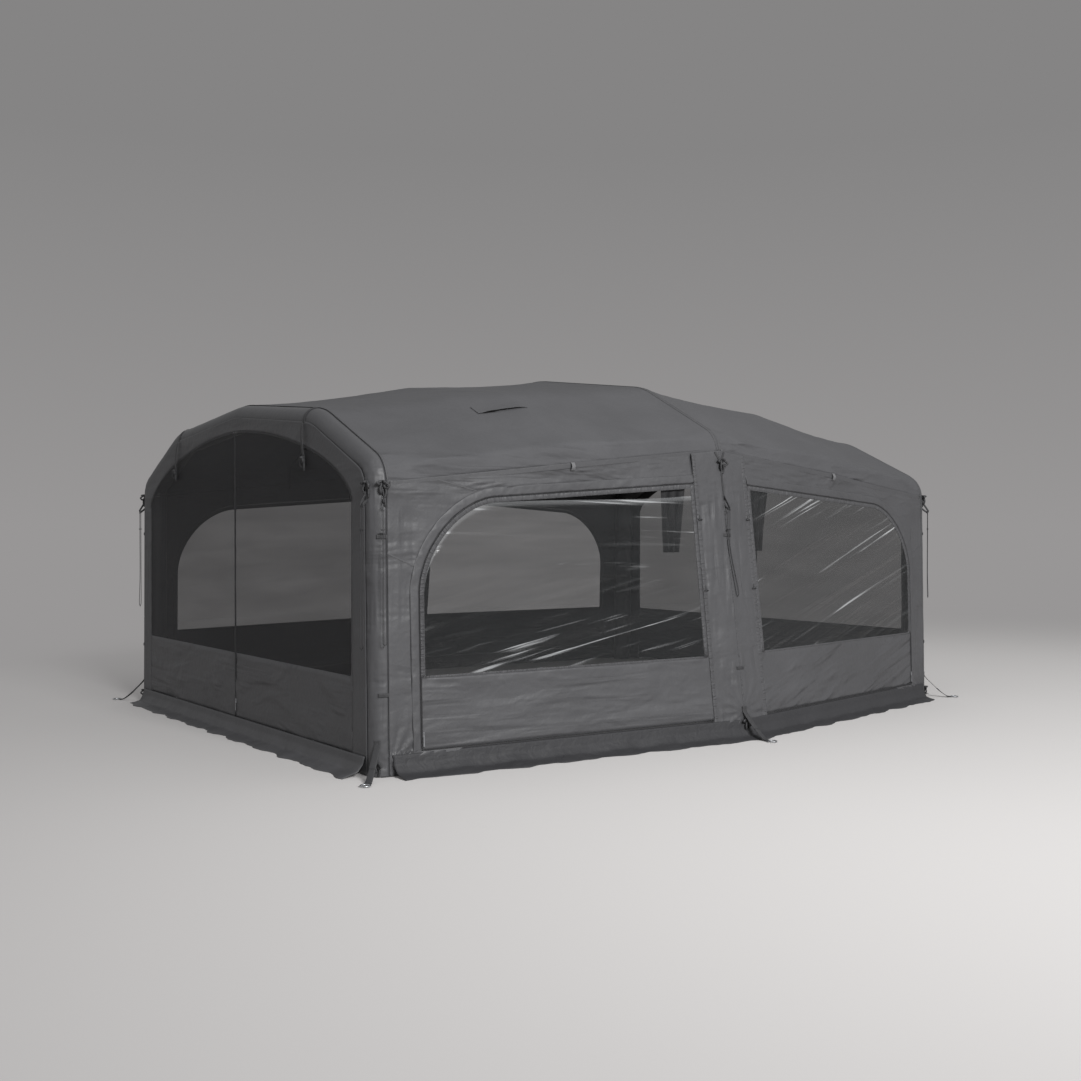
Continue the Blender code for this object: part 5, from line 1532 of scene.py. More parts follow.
def make_end_frame(end):
    """The band between an end arch and its door, over the tube's outer face."""
    name = END_NAMES[end]
    arch_band = beam_track(END_ARCH)
    leg_steps, arch_steps = 24, 72
    spring_share = END_OPENING_SPRING / arch_band.length
    half_inner, half_outer = [], []
    for step in range(leg_steps):
        height = blend(FLOOR_GAP, END_OPENING_SPRING, step / leg_steps)
        half_inner.append(end_point(END_OPENING_HALF_WIDTH, height, end))
        half_outer.append(end_point(leg_half_width(END_ARCH, height) - BEAM_INSET, height, end))
    for step in range(arch_steps + 1):
        across = END_OPENING_HALF_WIDTH * cos(pi / 2 * step / arch_steps)
        half_inner.append(end_point(across, end_head(across), end))
        centre = arch_band.at(blend(spring_share, 0.5, step / arch_steps))[0]
        half_outer.append(end_point(centre.x, centre.y, end))
    mirror = Matrix.Diagonal((1.0, -1.0, 1.0))
    track = Track(*(half + [mirror @ point for point in reversed(half[:-1])]
                    for half in (half_inner, half_outer)))

    def place(u, v):
        point, edge = border_point(track, u, v, 0.04)
        pull = -0.6 * smooth_share((END_OPENING_SPRING - point.z) / 0.3) + 0.3
        return point, endways(end), end_relief(point.y, point.z, end) * edge, pull

    frame_piece, area = make_sheet(
        f"end_band_{name}", "cloth", (360, 12), (track.length, 0.16), place, endways(end),
        nodes=[f"end_frame_{name}"], thickness=dressing().cloth_thickness,
    )


def make_end_leaf(side, end):
    """Half of an end door: its border and lower panel, and its mesh."""
    where = wall_name(side, end)
    body = f"end_door_{where}"
    track = Track(*(
        [end_point(side * across, height, end)
         for across, height in closed_outline(half_end_opening, *edge)]
        for edge in ((ZIP_GAP, END_OPENING_SILL + ZIP_GAP, ZIP_GAP / 2),
                     (NET_BORDER, LOWER_PANEL_TOP, NET_BORDER * 0.7))
    ))

    def place(u, v):
        point, edge = border_point(track, u, v, 0.03)
        return point, endways(end), end_relief(point.y, point.z + 3.0, end) * 1.4 * edge, 0.6

    panel, area = make_sheet(
        f"end_panel_{where}", "cloth", (340, 14), (track.length, 0.4), place, endways(end),
        closed=True, body=body, nodes=[f"end_door_{where}_panel"],
        thickness=dressing().cloth_thickness,
    )
    inset = NET_BORDER + FIT_GAP
    foot = LOWER_PANEL_TOP + FIT_GAP
    half_width = END_OPENING_HALF_WIDTH - inset
    middle = NET_BORDER * 0.7 + FIT_GAP
    count = 84

    def pane_place(u, v):
        across = middle + (half_width - middle) * sin(pi / 2 * round(u * count) / count)
        head = end_head(across, inset)
        height = blend(foot, head, v)
        room = min(across - middle, half_width - across, height - foot, head - height)
        lift = end_relief(side * across, height + 6.0, end) * 1.3
        point = end_point(side * across, height, end)
        return point, endways(end), lift * smooth_share(room / 0.06)

    size = (half_width - middle, 1.37)
    net, area = make_sheet(f"end_net_{where}", "mesh", (count, 72), size, pane_place,
                           endways(end), body=body, nodes=[f"end_door_{where}_mesh"], slot="mesh")


# Skirts

SKIRT_FOLD_DEPTH = 0.012
SKIRT_FOLD_LENGTH = 0.34
SKIRT_COLUMN_WIDTH = 0.018
SKIRT_SECTION = Track([Vector(share) for share in (
    (0.0, 1.0), (0.1, 0.5), (0.34, 0.1), (0.62, 0.03), (1.0, 0.0))])


def skirt_point(foot, outward, run, share, lift):
    """A point of a skirt: down from the wall, out over the floor, with its folds."""
    reach_share, height_share = SKIRT_SECTION.at(share)[0]
    wave = sin(2 * pi * run / SKIRT_FOLD_LENGTH)
    wave += sin(2 * pi * run / SKIRT_FOLD_LENGTH * sqrt(2)) / 2
    wave += streaks(run, reach_share * 0.1, 1.4, 0.06, 2.0, foot.y) * 1.2
    fold = SKIRT_FOLD_DEPTH * wave * reach_share
    ripple = SKIRT_FOLD_DEPTH * (1 + wave / 2) / 2 * sin(pi * reach_share)
    crumple = 0.004 * abs(streaks(run, reach_share * 0.12, 0.3, 0.035, 1.5, 3.0))
    reach = SKIRT_REACH * reach_share + lift + fold
    height = FABRIC + (SKIRT_HEIGHT - FABRIC) * height_share + max(ripple, 0.0)
    height += crumple * sin(pi * min(reach_share * 1.2, 1.0))
    return Vector((foot.x + outward.x * reach, foot.y + outward.y * reach, height))


def make_skirt(name, line, outward, top):
    """A skirt along a line of (foot, run) places."""
    columns = len(line) - 1

    def place(u, v):
        foot, run = line[round(u * columns)]
        point = skirt_point(foot, outward, run, v, FABRIC + CLOTH_GAP)
        if v == 0.0 and top:
            point.z = top
        return point, UP, 0.0

    length = abs(line[-1][1] - line[0][1])
    skirt, area = make_sheet(
        f"skirt_cloth_{name}", "skirt" if name in SIDE_NAMES.values() else "cloth",
        (columns, 16), (length, 0.21), place, outward + UP,
        nodes=[f"skirt_{name}"], thickness=LOOSE_CLOTH,
    )


def skirt_runs(reach):
    """Even distances along a skirt, from end to end."""
    columns = round(2 * reach / SKIRT_COLUMN_WIDTH)
    return [blend(-reach, reach, column / columns) for column in range(columns + 1)]


def side_skirt_line(side):
    return [(wall_point(abs(run), SKIRT_HEIGHT, side, bay_of(run)), run)
            for run in skirt_runs(BEAM_X + BEAM_INSET - SKIRT_CORNER_INSET)]


def end_skirt_line(end):
    return [(Vector((end * BAY_LENGTH, run, 0.0)), run)
            for run in skirt_runs(END_ARCH.base_width / 2 - SKIRT_CORNER_INSET)]


# Curtain

def make_curtain_tail(end):
    """A gathered end of curtain behind the header beside the near pillar."""
    name = END_NAMES[end]
    start = PILLAR_HALF_WIDTH + TAIL_FROM_PILLAR

    def place(u, v):
        width = blend(TAIL_WIDTH, TAIL_FOOT_WIDTH, v)
        from_middle = start + (TAIL_WIDTH - width) / 2 + width * u
        top = header_point(from_middle, TAIL_TOP, NEAR, end)
        fold = 0.014 * (1 - cos(5 * pi * u)) * v
        fold += 0.002 * (1 + streaks(u * 0.2, v * 0.4, 1.5, 0.02, 6.0, 8 + end)) * v
        point = Vector((top.x, top.y + FABRIC + CLOTH_GAP + fold, blend(TAIL_TOP, TAIL_BOTTOM, v)))
        return point, sideways(NEAR), 0.0

    length = TAIL_TOP - TAIL_BOTTOM
    tail, area = make_sheet(
        f"curtain_{name}", "curtain", (48, 44), (0.3, length), place, sideways(NEAR),
        nodes=[f"curtain_tail_{name}"], slot="curtain", thickness=LOOSE_CLOTH,
    )


# Seams and zips

SEAM_LIFT = 0.0002
ZIP_TAPE_HEIGHT = 0.0014
COIL_RADIUS = 0.0018
COIL_LIFT = 0.0024


def lifted(surface, lift):
    """The point of a surface tuple with its folds and an extra lift."""
    return surface[0] + surface[1] * (surface[2] + lift)


def seam(path, width, height=0.0008, bow=0.0):
    """A tape along (point, normal) places."""
    return ribbon_shape([point for point, _ in path], [normal for _, normal in path],
                        width, height, bow)


def tape_over(surfaces, width, height=0.0008, bow=0.0, lift=SEAM_LIFT):
    """A tape sewn over surface places."""
    return seam([(lifted(surface, lift), surface[1]) for surface in surfaces],
                width, height, bow)


def sew_roof(end):
    """One bay's roof: seam tapes along both arches, and the hems and tabs of its eaves."""
    name = END_NAMES[end]
    width = dressing().seam_width
    near_sleeve = 0.5 * width / BEAM_X
    tapes = [
        tape_over([roof_surface(step / 300, share, end) for step in range(301)], tape_width)
        for share, tape_width in ((near_sleeve, width * 0.6), (1 - 2.2 * near_sleeve, width))
    ]
    finish_shape(join_shapes(tapes), f"roof_seams_{name}", "seam")
    hems, tabs = [], []
    for side in (NEAR, FAR):
        path = [(eave_point(step / 130, side, end) + Vector((0.0, side * 0.0008, -0.006)),
                 sideways(side)) for step in range(1, 130)]
        hems.append(seam(path, 0.03, 0.001))
        root = eave_point(0.5, side, end) + Vector((0.0, side * 0.003, 0.012))
        path = [(root + Vector((0.0, side * 0.012 * sin(step * pi / 8), -0.006 * step)),
                 sideways(side)) for step in range(9)]
        tabs.append(seam(path, 0.026, 0.002))
    finish_shape(join_shapes(hems), f"eave_hems_{name}", "cloth")
    finish_shape(join_shapes(tabs), f"eave_tabs_{name}", "tab")


def sew_pillar(side):
    """Seam tapes of a pillar: down its middle and both edges."""
    width = dressing().seam_width
    hem = 2.2 * width
    edge = PILLAR_HALF_WIDTH - hem * 0.55
    tapes = []
    for across, tape_width, height in (
        (-edge, hem, 0.0016), (0.0, width * 0.7, 0.0008), (edge, hem, 0.0016),
    ):
        top = pillar_top(across, side) - 0.01
        surfaces = [pillar_surface(across, blend(0.02, top, step / 120), side)
                    for step in range(121)]
        tapes.append(tape_over(surfaces, tape_width, height, 0.8))
    finish_shape(join_shapes(tapes), f"pillar_seams_{SIDE_NAMES[side]}", "hem")


def outline_path(places, side, end, lift):
    return [(wall_point(distance, height, side, end) + Vector((0.0, side * lift, 0.0)),
             sideways(side)) for distance, height in places]


def zip_edge(inset, sill):
    """The zipped edges of a side opening: along the sill, up the jamb, over the arch."""
    return side_opening(inset, sill, HINGE_EDGE + 0.004)


def make_side_zip(side, end):
    """The two tapes of a side door's zip, the coil between them and the flap beside it."""
    where = wall_name(side, end)
    half = dressing().zip_tape_width / 2
    sill = SIDE_OPENING_SILL + ZIP_GAP
    frame_edge = zip_edge(-half / 2 - 0.0004, SIDE_OPENING_SILL - half / 2)
    leaf_edge = zip_edge(half / 2 + ZIP_GAP + 0.0004, sill + half / 2)
    frame_tape, leaf_tape = (
        seam(outline_path(edge, side, end, SEAM_LIFT), half, ZIP_TAPE_HEIGHT)
        for edge in (frame_edge, leaf_edge)
    )
    finish_shape(frame_tape, f"zip_frame_{where}", "zip_tape")
    coil_path = outline_path(zip_edge(ZIP_GAP + 0.0026, sill + 0.0026), side, end, COIL_LIFT)
    coil = tube_shape([point for point, _ in coil_path], COIL_RADIUS, 6)
    finish_shape(join_shapes([leaf_tape, coil]), f"zip_leaf_{where}", "zip_tape",
                 f"side_door_{where}")
    track = frame_track(side, end)
    first, last = 0.33, 1.0
    width = 0.05
    length = (last - first) * track.length
    seed = place_seed(side, end) + 300

    def place(u, v):
        inner, outer = track.at(blend(first, last, u))
        point = inner + (outer - inner).normalized() * (half / 2 + width * v)
        fade = sin(pi * v) ** 0.5
        pucker = 0.005 * (0.4 + streaks(u * length, v * width, 1.0, 0.05, 1.5, seed)) * fade
        pucker += 0.003 * abs(streaks(u * length, v * width, 1.3, 0.018, 2.5, seed + 2)) * fade
        return point, sideways(side), 0.0026 + max(pucker, 0.0)

    make_sheet(f"zip_cover_{where}", "cloth", (320, 9), (length, width), place, sideways(side),
               thickness=SLEEVE_CLOTH)


def make_end_zip(end):
    """The centre zip of an end door and the zips at its foot and head; its hinge has none."""
    name = END_NAMES[end]
    half = dressing().zip_tape_width / 2
    sill = END_OPENING_SILL + ZIP_GAP
    heights = [blend(sill + 0.004, END_OPENING_CROWN - 0.01, step / 60) for step in range(61)]
    for side in (NEAR, FAR):
        middle_edge = [(half / 2 + ZIP_GAP, height) for height in heights]
        outline = half_end_opening(half / 2 + ZIP_GAP, sill + half / 2, 0.03)
        foot_edge, head_edge = outline[:OUTLINE_STEPS - 2], outline[2 * OUTLINE_STEPS:]
        shapes = [
            seam([(end_point(side * across, height, end, SEAM_LIFT), endways(end))
                  for across, height in edge], half, ZIP_TAPE_HEIGHT)
            for edge in (middle_edge, foot_edge, head_edge)
        ]
        if side == NEAR:
            across = -(ZIP_GAP + 0.0024)
            coil = [end_point(across, height, end, COIL_LIFT) for height in heights]
            shapes.append(tube_shape(coil, COIL_RADIUS, 6))
        finish_shape(join_shapes(shapes), f"zip_leaf_{name}_{SIDE_NAMES[side]}", "zip_tape",
                     f"end_door_{name}_{SIDE_NAMES[side]}")


def hem_windows(side, end):
    """The binding sewn round a film pane."""
    where = wall_name(side, end)
    outline = closed_outline(side_opening, DOOR_BORDER / 2, LOWER_PANEL_TOP,
                             HINGE_EDGE + DOOR_BORDER / 2)
    foot, around = (outline_path(edge, side, end, 0.0006)
                    for edge in (outline[:OUTLINE_STEPS + 1], outline[OUTLINE_STEPS:]))
    shapes = [seam(foot, 0.012, 0.001), seam(around, DOOR_BORDER - 0.003, 0.0014, 1.2)]
    finish_shape(join_shapes(shapes), f"film_binding_{where}", "hem", f"side_door_{where}")


# Webbing

BUNCH_HEIGHT = 1.69
BAR_HEIGHTS = (1.233, 0.42)
BAR_LIFT = 0.0016
TAB_BUNCH_RISE = 0.055
FOOT_BUNCH_HEIGHTS = (0.068, 0.1)
TOGGLE_HEIGHTS = (1.36, 0.93)
STRAP_FALL = 0.2


def strap_shapes(side, end):
    """The peg strap of a leg, folded back on itself over its ring, and the ring."""
    leg, outward, face = leg_frame(side, end, CORNER_DIAGONAL, STRAP_HEIGHT)
    profile = (
        (0.002, STRAP_HEIGHT + 0.03), (0.004, STRAP_HEIGHT), (STRAP_STAND_OUT / 3,
         STRAP_HEIGHT * 0.76), (STRAP_STAND_OUT * 0.72, STRAP_HEIGHT * 0.5),
        (STRAP_STAND_OUT, STRAP_HEIGHT * 0.3), (STRAP_FLOOR_START - 0.01, 0.016),
        (STRAP_FLOOR_START + 0.01, 0.005), (STRAP_REACH - 0.008, 0.003),
    )
    points = smooth_route([leg + outward * (face + out) + UP * rise for out, rise in profile],
                          0.01)
    across = UP.cross(outward)
    normals = [heading.normalized().cross(across).normalized() for heading in headings(points)]
    upper = ribbon_shape(points, normals, STRAP_WIDTH, 0.0022)
    count = len(points)
    back = range(count - 1, round(count * 0.55), -1)
    lower = ribbon_shape([points[index] + normals[index] * 0.0034 for index in back],
                         [normals[index] for index in back], STRAP_WIDTH * 0.94, 0.0018)
    centre = leg + outward * (face + STRAP_REACH + RING_RADIUS - 0.006) + UP * 0.0075
    return upper, lower, ring_shape(centre, UP, RING_RADIUS, RING_WIRE_RADIUS * 0.9)


def tab_shape(side, end, angle):
    """A folded webbing triangle round an eyelet."""
    leg, outward, face = leg_frame(side, end, angle, TAB_HEIGHT)
    along = UP.cross(outward)
    tip = face + TAB_REACH
    foot = TAB_HEIGHT - TAB_DROP
    shapes = []
    for turn, out, rise in ((1, 0.55, 0.2), (-1, -0.2, -0.75)):
        start = leg + outward * (face + 0.002) + UP * (TAB_HEIGHT + turn * TAB_ROOT / 2)
        stop = leg + outward * (tip + TAB_TIP * out) + UP * (foot + TAB_TIP * rise)
        points = [blend(start, stop, step / 10) - along * 0.0014 for step in range(11)]
        shapes.append(ribbon_shape(points, [along] * 11, 0.013, 0.0028))
    shapes.append(ring_shape(leg + outward * tip + UP * foot, along, 0.0075, 0.0022, 28, 8))
    return shapes


def bunch_shapes(point, outward, size):
    """Loops of spare webbing gathered at a point, hanging over one another."""
    along = UP.cross(outward)
    shapes = []
    for sideways_share, fall, reach in ((-1, 0.3, 0.5), (0.9, 0.7, 0.8), (-0.5, 1.2, 0.6),
                                        (0.5, 1.6, 0.35), (0.1, 0.1, 1.0)):
        route = [point + outward * (out * reach * size) + along * (sideways_share * way * size)
                 + UP * (size * (0.4 - fall * drop))
                 for out, way, drop in ((0.1, 0.0, 0.0), (0.7, 0.5, 0.4), (1.0, 1.0, 1.0),
                                        (0.6, 0.5, 1.5), (0.15, 0.1, 0.8))]
        shapes.append(tube_shape(smooth_route(route, size / 8), size * 0.19, 6))
    return shapes


def pillar_bar(side, start, stop, steps, width, height):
    """Webbing sewn to a pillar from one (across, height) place to another."""
    surfaces = [
        pillar_surface(*(blend(*ends, step / steps) for ends in zip(start, stop)), side)
        for step in range(steps + 1)
    ]
    return tape_over(surfaces, width, height, lift=BAR_LIFT)


def bar_shapes():
    """Webbing bars across the pillars and legs, and the V straps over the middle tabs."""
    shapes = []
    width = dressing().webbing_width
    for side in (NEAR, FAR):
        bars = [((-0.03, height), (0.03, height), 12, width, 0.0024) for height in BAR_HEIGHTS]
        top = pillar_top(0.0, side) - 0.01
        bars += [((turn * 0.04, top), (turn * 0.004, BUNCH_HEIGHT), 16, 0.014, 0.0022)
                 for turn in (-1, 1)]
        bars.append(((0.0, BUNCH_HEIGHT), (0.0, TAB_HEIGHT), 16, 0.012, 0.0022))
        shapes += [pillar_bar(side, *bar) for bar in bars]
    for (side, end), angles in TAB_ANGLES.items():
        for height in BAR_HEIGHTS:
            leg = Vector((*corner_leg(side, end, height), height))
            path = []
            for step in range(17):
                angle = blend(angles[0] - 0.42, angles[0] + 0.42, step / 16)
                spoke = level_direction(corner_azimuth(side, end, angle))
                path.append((leg + spoke * (SLEEVE_RADIUS + 0.0006), spoke))
            shapes.append(seam(path, width, 0.0024))
    return shapes


def shoulder_strap(side, end):
    """The strap over an end arch's shoulder, holding the sleeve to the roof."""
    centre, normal = beam_track(END_ARCH).at(0.355 if side == FAR else 0.645)
    normal = Vector((0.0, *normal.normalized()))
    middle = Vector((end * BEAM_X, *centre))
    out = endways(end)
    path = []
    for step in range(25):
        angle = blend(-0.25, 1.75, step / 24)
        spoke = normal * cos(angle) + out * sin(angle)
        path.append((middle + spoke * (SLEEVE_RADIUS + 0.0008), spoke))
    root = path[-1][0]
    fall = [(Vector((end * (BAY_LENGTH + 0.009 + 0.01 * sin(step * pi / 12)),
                     root.y + 0.03 * side * step / 12, root.z - STRAP_FALL * step / 12)), out)
            for step in range(13)]
    return [seam(path, 0.026, 0.0026), seam(fall, 0.022, 0.0026),
            *bunch_shapes(fall[-1][0], out, 0.03)]


def toggle_shapes(side, turn, height):
    """A loop and toggle that hold a rolled door leaf, at a pillar's edge."""
    surface = pillar_surface(turn * (PILLAR_HALF_WIDTH - 0.022), height, side)
    point, out = lifted(surface, 0.0), surface[1]
    route = [point + out * 0.001, point + out * 0.004 - UP * 0.012,
             point + out * 0.0085 - UP * 0.028]
    points = smooth_route(route, 0.003)
    loop = ribbon_shape(points, [out] * len(points), 0.008, 0.0014)
    lay = Matrix.Translation(point + out * 0.0115 - UP * 0.031)
    bar = cone_shape(lay @ Matrix.Rotation(pi / 2, 4, "Y"), 14, 0.0042, 0.0042, 0.032)
    rims = [edge for edge in bar.edges if edge.is_manifold and edge.calc_face_angle(0) > 1.0]
    bmesh.ops.bevel(bar, geom=rims, offset=0.0016, segments=2, affect="EDGES")
    return loop, bar


# Stage

CAMERA_PLACE = (-5.397, -7.0, 1.284)
CAMERA_TURN = (radians(90 - 0.656), 0.0, radians(-37.72))
SENSOR_WIDTH = 36.0


def set_camera():
    data = bpy.data.cameras.new("camera")
    data.lens = bpy.context.scene.tent_stage.lens
    data.sensor_width = SENSOR_WIDTH
    camera = bpy.data.objects.new("camera", data)
    bpy.context.scene.collection.objects.link(camera)
    camera.location = CAMERA_PLACE
    camera.rotation_euler = CAMERA_TURN
    bpy.context.scene.camera = camera


def add_lamp(name, place, target, size, power):
    data = bpy.data.lights.new(name, "AREA")
    data.shape = "RECTANGLE"
    data.size, data.size_y = size
    data.energy = power
    lamp = bpy.data.objects.new(name, data)
    bpy.context.scene.collection.objects.link(lamp)
    lamp.location = place
    lamp.rotation_euler = (Vector(target) - Vector(place)).to_track_quat("-Z", "Y").to_euler()


def make_floor():
    """A seamless pale floor that fades into the backdrop's grey well behind the tent."""
    stage = bpy.context.scene.tent_stage
    material, tree, shader = start_finish("studio_floor", stage.floor_colour, 0.9)
    place = add_node(tree, "TexCoord").outputs["Object"]
    axes = add_node(tree, "SeparateXYZ", {0: place})
    flat = add_node(tree, "CombineXYZ", {0: axes.outputs[0], 1: axes.outputs[1]})
    # The fade is centred off to the right of the tent, so the floor darkens sooner on its left:
    # painted shade where the light falls off
    reach = add_node(tree, "VectorMath", {0: flat.outputs[0], 1: (2.4, -2.0, 0.0)},
                     operation="DISTANCE")
    fade = add_node(tree, "MapRange", {
        "Value": reach.outputs["Value"], "From Min": 3.2, "From Max": 11.0,
    }, interpolation_type="SMOOTHSTEP")
    shader.inputs["Specular IOR Level"].default_value = 0.0
    # Where it fades, the floor glows in the backdrop's grey, painted in place of the lamps' light
    glow = add_node(tree, "Emission", {
        "Color": linear_colour(stage.backdrop_low_colour), "Strength": 1.0,
    })
    both = add_node(tree, "MixShader", {
        0: fade, 1: shader, 2: glow,
    })
    tree.links.new(both.outputs[0], tree.nodes["Material Output"].inputs["Surface"])
    shape = bmesh.new()
    bmesh.ops.create_circle(shape, cap_ends=True, segments=96, radius=60.0)
    mesh = bpy.data.meshes.new("studio_floor")
    shape.to_mesh(mesh)
    shape.free()
    mesh.materials.append(material)
    floor = bpy.data.objects.new("studio_floor", mesh)
    bpy.context.scene.collection.objects.link(floor)


def set_world():
    """Room light from all round, and the backdrop's grey for what the camera sees."""
    stage = bpy.context.scene.tent_stage
    world = bpy.data.worlds.new("studio")
    bpy.context.scene.world = world
    world.use_nodes = True
    tree = world.node_tree
    tree.nodes.clear()
    place = add_node(tree, "TexCoord").outputs["Generated"]
    axes = add_node(tree, "SeparateXYZ", {0: place})
    rise = add_node(tree, "MapRange", {"Value": axes.outputs[2], "From Max": 0.3})
    grey = add_node(tree, "Mix", {
        0: rise, 6: linear_colour(stage.backdrop_low_colour),
        7: linear_colour(stage.backdrop_high_colour),
    }, data_type="RGBA").outputs[2]
    seen = add_node(tree, "Background", {"Color": grey, "Strength": 1.0})
    room = add_node(tree, "Background", {
        "Color": linear_colour("FFFFFF"), "Strength": stage.sky_strength,
    })
    ray = add_node(tree, "LightPath")
    direct = add_node(tree, "Math", {
        0: ray.outputs["Is Camera Ray"], 1: ray.outputs["Is Transmission Ray"],
    }, operation="MAXIMUM")
    share = add_node(tree, "MixShader", {0: direct, 1: room, 2: seen})
    output = add_node(tree, "OutputWorld")
    tree.links.new(share.outputs[0], output.inputs["Surface"])


def light_stage():
    stage = bpy.context.scene.tent_stage
    add_lamp("key_lamp", (-3.0, -14.0, 8.0), (0.0, 0.0, 0.8), (5.0, 3.0), stage.key_power)
    add_lamp("top_lamp", (1.5, -2.0, 6.5), (1.5, -3.0, 0.0), (7.0, 5.0), stage.top_power)


# Operators

class TentSetCamera(bpy.types.Operator):
    """Place the camera where the photograph was taken from."""

    bl_idname = "tent.set_camera"
    bl_label = "Set camera"

    def execute(self, context):
        set_camera()
        return {"FINISHED"}


class TentHangLines(bpy.types.Operator):
    """Hang the folded guy lines from their tabs."""

    bl_idname = "tent.hang_lines"
    bl_label = "Hang guy lines"

    def execute(self, context):
        for name in LINE_PLACES:
            make_guy_line(name)
        return {"FINISHED"}


class TentMakeBeams(bpy.types.Operator):
    """Make the three air beams and their sleeves."""

    bl_idname = "tent.make_beams"
    bl_label = "Make air beams"

    def execute(self, context):
        for which in BEAMS:
            make_beam(which)
        return {"FINISHED"}


class TentMakeRoof(bpy.types.Operator):
    """Make both roof sheets, their seams and the vent flap."""

    bl_idname = "tent.make_roof"
    bl_label = "Make roof"

    def execute(self, context):
        for end in (LEFT, RIGHT):
            make_canopy(end)
            sew_roof(end)
        make_vent_flap()
        return {"FINISHED"}


class TentMakeWalls(bpy.types.Operator):
    """Make the side walls' frames and the middle pillars."""

    bl_idname = "tent.make_walls"
    bl_label = "Make side walls"

    def execute(self, context):
        for side in (NEAR, FAR):
            for end in (LEFT, RIGHT):
                make_wall_frame(side, end)
                sew_corner(side, end)
            make_pillar(side)
            sew_pillar(side)
        return {"FINISHED"}


class TentMakeSideDoors(bpy.types.Operator):
    """Make the side doors with their film windows and zips."""

    bl_idname = "tent.make_side_doors"
    bl_label = "Make side doors"

    def execute(self, context):
        for side, end in WALLS:
            make_side_panel(side, end)
            make_side_window(side, end)
            hem_windows(side, end)
            make_side_zip(side, end)
        return {"FINISHED"}


class TentMakeEnds(bpy.types.Operator):
    """Make the end walls, their mesh doors and centre zips."""

    bl_idname = "tent.make_ends"
    bl_label = "Make ends"

    def execute(self, context):
        for end in (LEFT, RIGHT):
            make_end_frame(end)
            for side in (NEAR, FAR):
                make_end_leaf(side, end)
            make_end_zip(end)
        return {"FINISHED"}


class TentLaySkirts(bpy.types.Operator):
    """Lay the skirts over the floor."""

    bl_idname = "tent.lay_skirts"
    bl_label = "Lay skirts"

    def execute(self, context):
        for side in (NEAR, FAR):
            make_skirt(SIDE_NAMES[side], side_skirt_line(side), sideways(side), 0.0)
        for end in (LEFT, RIGHT):
            make_skirt(END_NAMES[end], end_skirt_line(end), endways(end),
                       END_OPENING_SILL - SEAM_GAP)
        return {"FINISHED"}


class TentHangCurtains(bpy.types.Operator):
    """Hang the gathered curtain ends beside the near pillar."""

    bl_idname = "tent.hang_curtains"
    bl_label = "Hang curtains"

    def execute(self, context):
        for end in (LEFT, RIGHT):
            make_curtain_tail(end)
        return {"FINISHED"}


class TentSewWebbing(bpy.types.Operator):
    """Sew on tabs, peg straps with rings, bars, shoulder straps and toggles."""

    bl_idname = "tent.sew_webbing"
    bl_label = "Sew webbing"

    def execute(self, context):
        straps, rings = [], []
        for end in (LEFT, 0, RIGHT):
            for side in (NEAR, FAR):
                *strap, ring = strap_shapes(side, end)
                straps += strap
                rings.append(ring)
        finish_shape(join_shapes(straps), "peg_straps", "webbing")
        finish_shape(join_shapes(rings), "peg_rings", "steel", slot="zip_metal")
        corners = [(side, end, angle) for (side, end), angles in TAB_ANGLES.items()
                   for angle in angles]
        tabs = []
        for place in (*corners, (NEAR, 0, 0.0), (FAR, 0, 0.0)):
            tabs += tab_shape(*place)
        finish_shape(join_shapes(tabs), "guy_tabs", "webbing")
        bunches = []
        for (side, end), angles in TAB_ANGLES.items():
            for angle in angles:
                leg, outward, face = leg_frame(side, end, angle, TAB_HEIGHT)
                height = UP * (TAB_HEIGHT + TAB_BUNCH_RISE)
                bunches += bunch_shapes(leg + outward * face + height, outward, 0.034)
            leg, outward, face = leg_frame(side, end, CORNER_DIAGONAL, STRAP_HEIGHT)
            height = UP * FOOT_BUNCH_HEIGHTS[0]
            bunches += bunch_shapes(leg + outward * face + height, outward, 0.03)
        for side in (NEAR, FAR):
            for height in (BUNCH_HEIGHT, FOOT_BUNCH_HEIGHTS[1]):
                _, outward, face = leg_frame(side, 0, 0.0, height)
                bunches += bunch_shapes(outward * (face + 0.004) + UP * height, outward, 0.036)
        finish_shape(join_shapes(bunches), "webbing_bunches", "webbing")
        finish_shape(join_shapes(bar_shapes()), "webbing_bars", "webbing")
        straps = [shape for side, end in WALLS for shape in shoulder_strap(side, end)]
        finish_shape(join_shapes(straps), "shoulder_straps", "webbing")
        loops, toggles = zip(*(
            toggle_shapes(side, turn, height)
            for side in (NEAR, FAR) for turn in (-1, 1) for height in TOGGLE_HEIGHTS))
        finish_shape(join_shapes(loops), "toggle_loops", "webbing")
        finish_shape(join_shapes(toggles), "toggles", "plastic", slot="plastic")
        return {"FINISHED"}


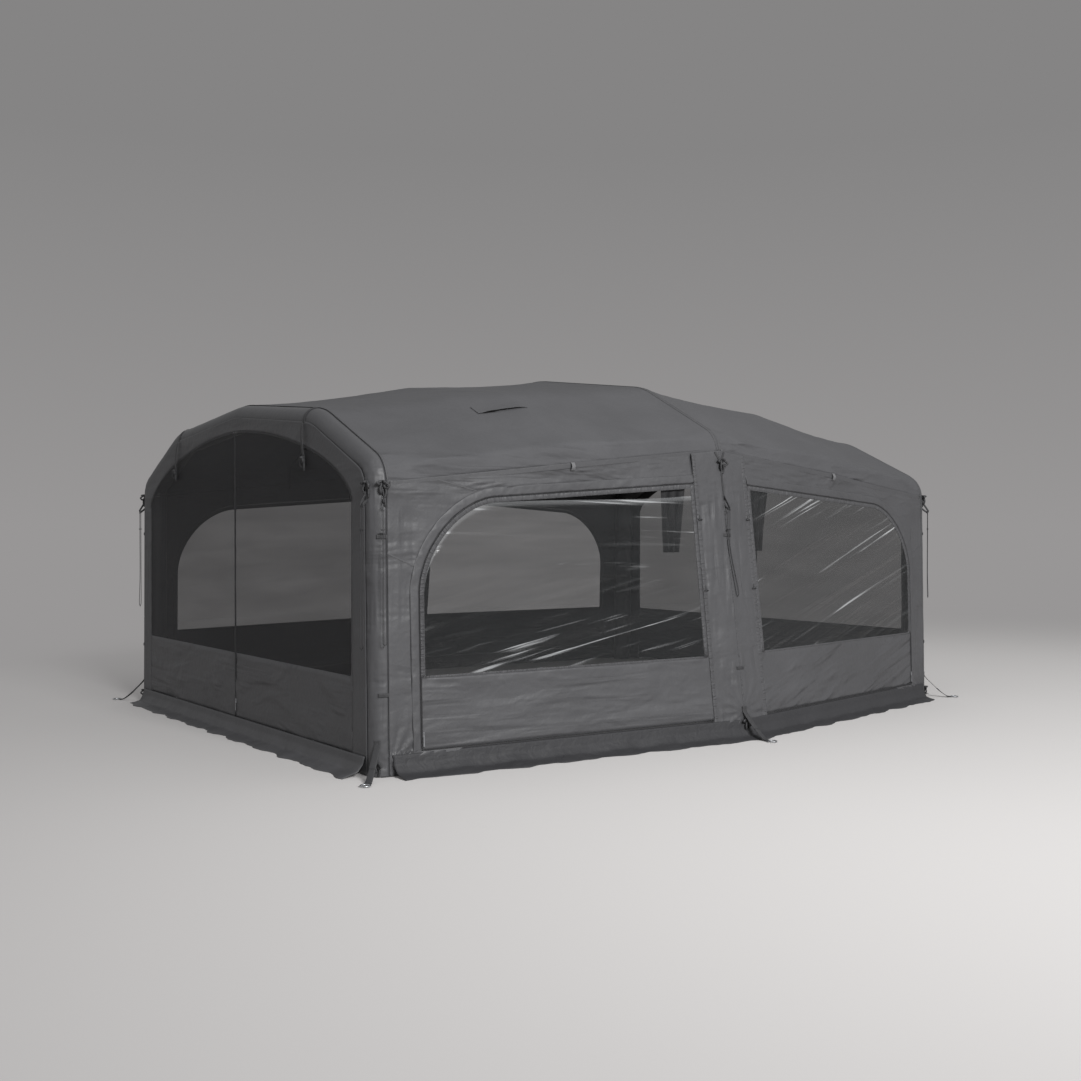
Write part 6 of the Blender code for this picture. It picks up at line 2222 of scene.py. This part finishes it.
class TentFinishHardware(bpy.types.Operator):
    """Give the solid parts carried over from the frame their finishes."""

    bl_idname = "tent.finish_hardware"
    bl_label = "Finish hardware"

    def execute(self, context):
        finishes = {
            "zip_slider": "alloy", "valve_cap": "plastic", "guy_runner": "plastic",
            "roof_pole": "pole",
        }
        for node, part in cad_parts.items():
            for start, finish in finishes.items():
                if node.startswith(start):
                    part.data.materials.clear()
                    part.data.materials.append(make_finish(finish))
        return {"FINISHED"}


class TentSetStage(bpy.types.Operator):
    """Lay the studio floor, the room light and the lamps."""

    bl_idname = "tent.set_stage"
    bl_label = "Set stage"

    def execute(self, context):
        make_floor()
        set_world()
        light_stage()
        return {"FINISHED"}


class TentPanel(bpy.types.Panel):
    """The dressing's settings and steps."""

    bl_idname = "TENT_PT_dressing"
    bl_label = "Inflatable tent"
    bl_space_type = "VIEW_3D"
    bl_region_type = "UI"
    bl_category = "Tent"

    def draw(self, context):
        layout = self.layout
        for group in (context.scene.tent_cloth, context.scene.tent_stage):
            column = layout.column(align=True)
            for name in group.bl_rna.properties.keys():
                if name not in ("rna_type", "name"):
                    column.prop(group, name)
        for step in STEPS:
            layout.operator(step.bl_idname)


STEPS = (
    TentSetCamera, TentHangLines, TentMakeBeams, TentMakeRoof, TentMakeWalls,
    TentMakeSideDoors, TentMakeEnds, TentLaySkirts, TentHangCurtains, TentSewWebbing,
    TentFinishHardware, TentSetStage,
)
CLASSES = (TentCloth, TentStage, *STEPS, TentPanel)


def register():
    for each in CLASSES:
        bpy.utils.register_class(each)
    bpy.types.Scene.tent_cloth = bpy.props.PointerProperty(type=TentCloth)
    bpy.types.Scene.tent_stage = bpy.props.PointerProperty(type=TentStage)


def unregister():
    del bpy.types.Scene.tent_stage
    del bpy.types.Scene.tent_cloth
    for each in reversed(CLASSES):
        bpy.utils.unregister_class(each)


def main():
    register()
    bpy.context.scene.view_settings.view_transform = "Standard"
    for step in STEPS:
        module, name = step.bl_idname.split(".")
        getattr(getattr(bpy.ops, module), name)()


if __name__ == "__main__":
    main()
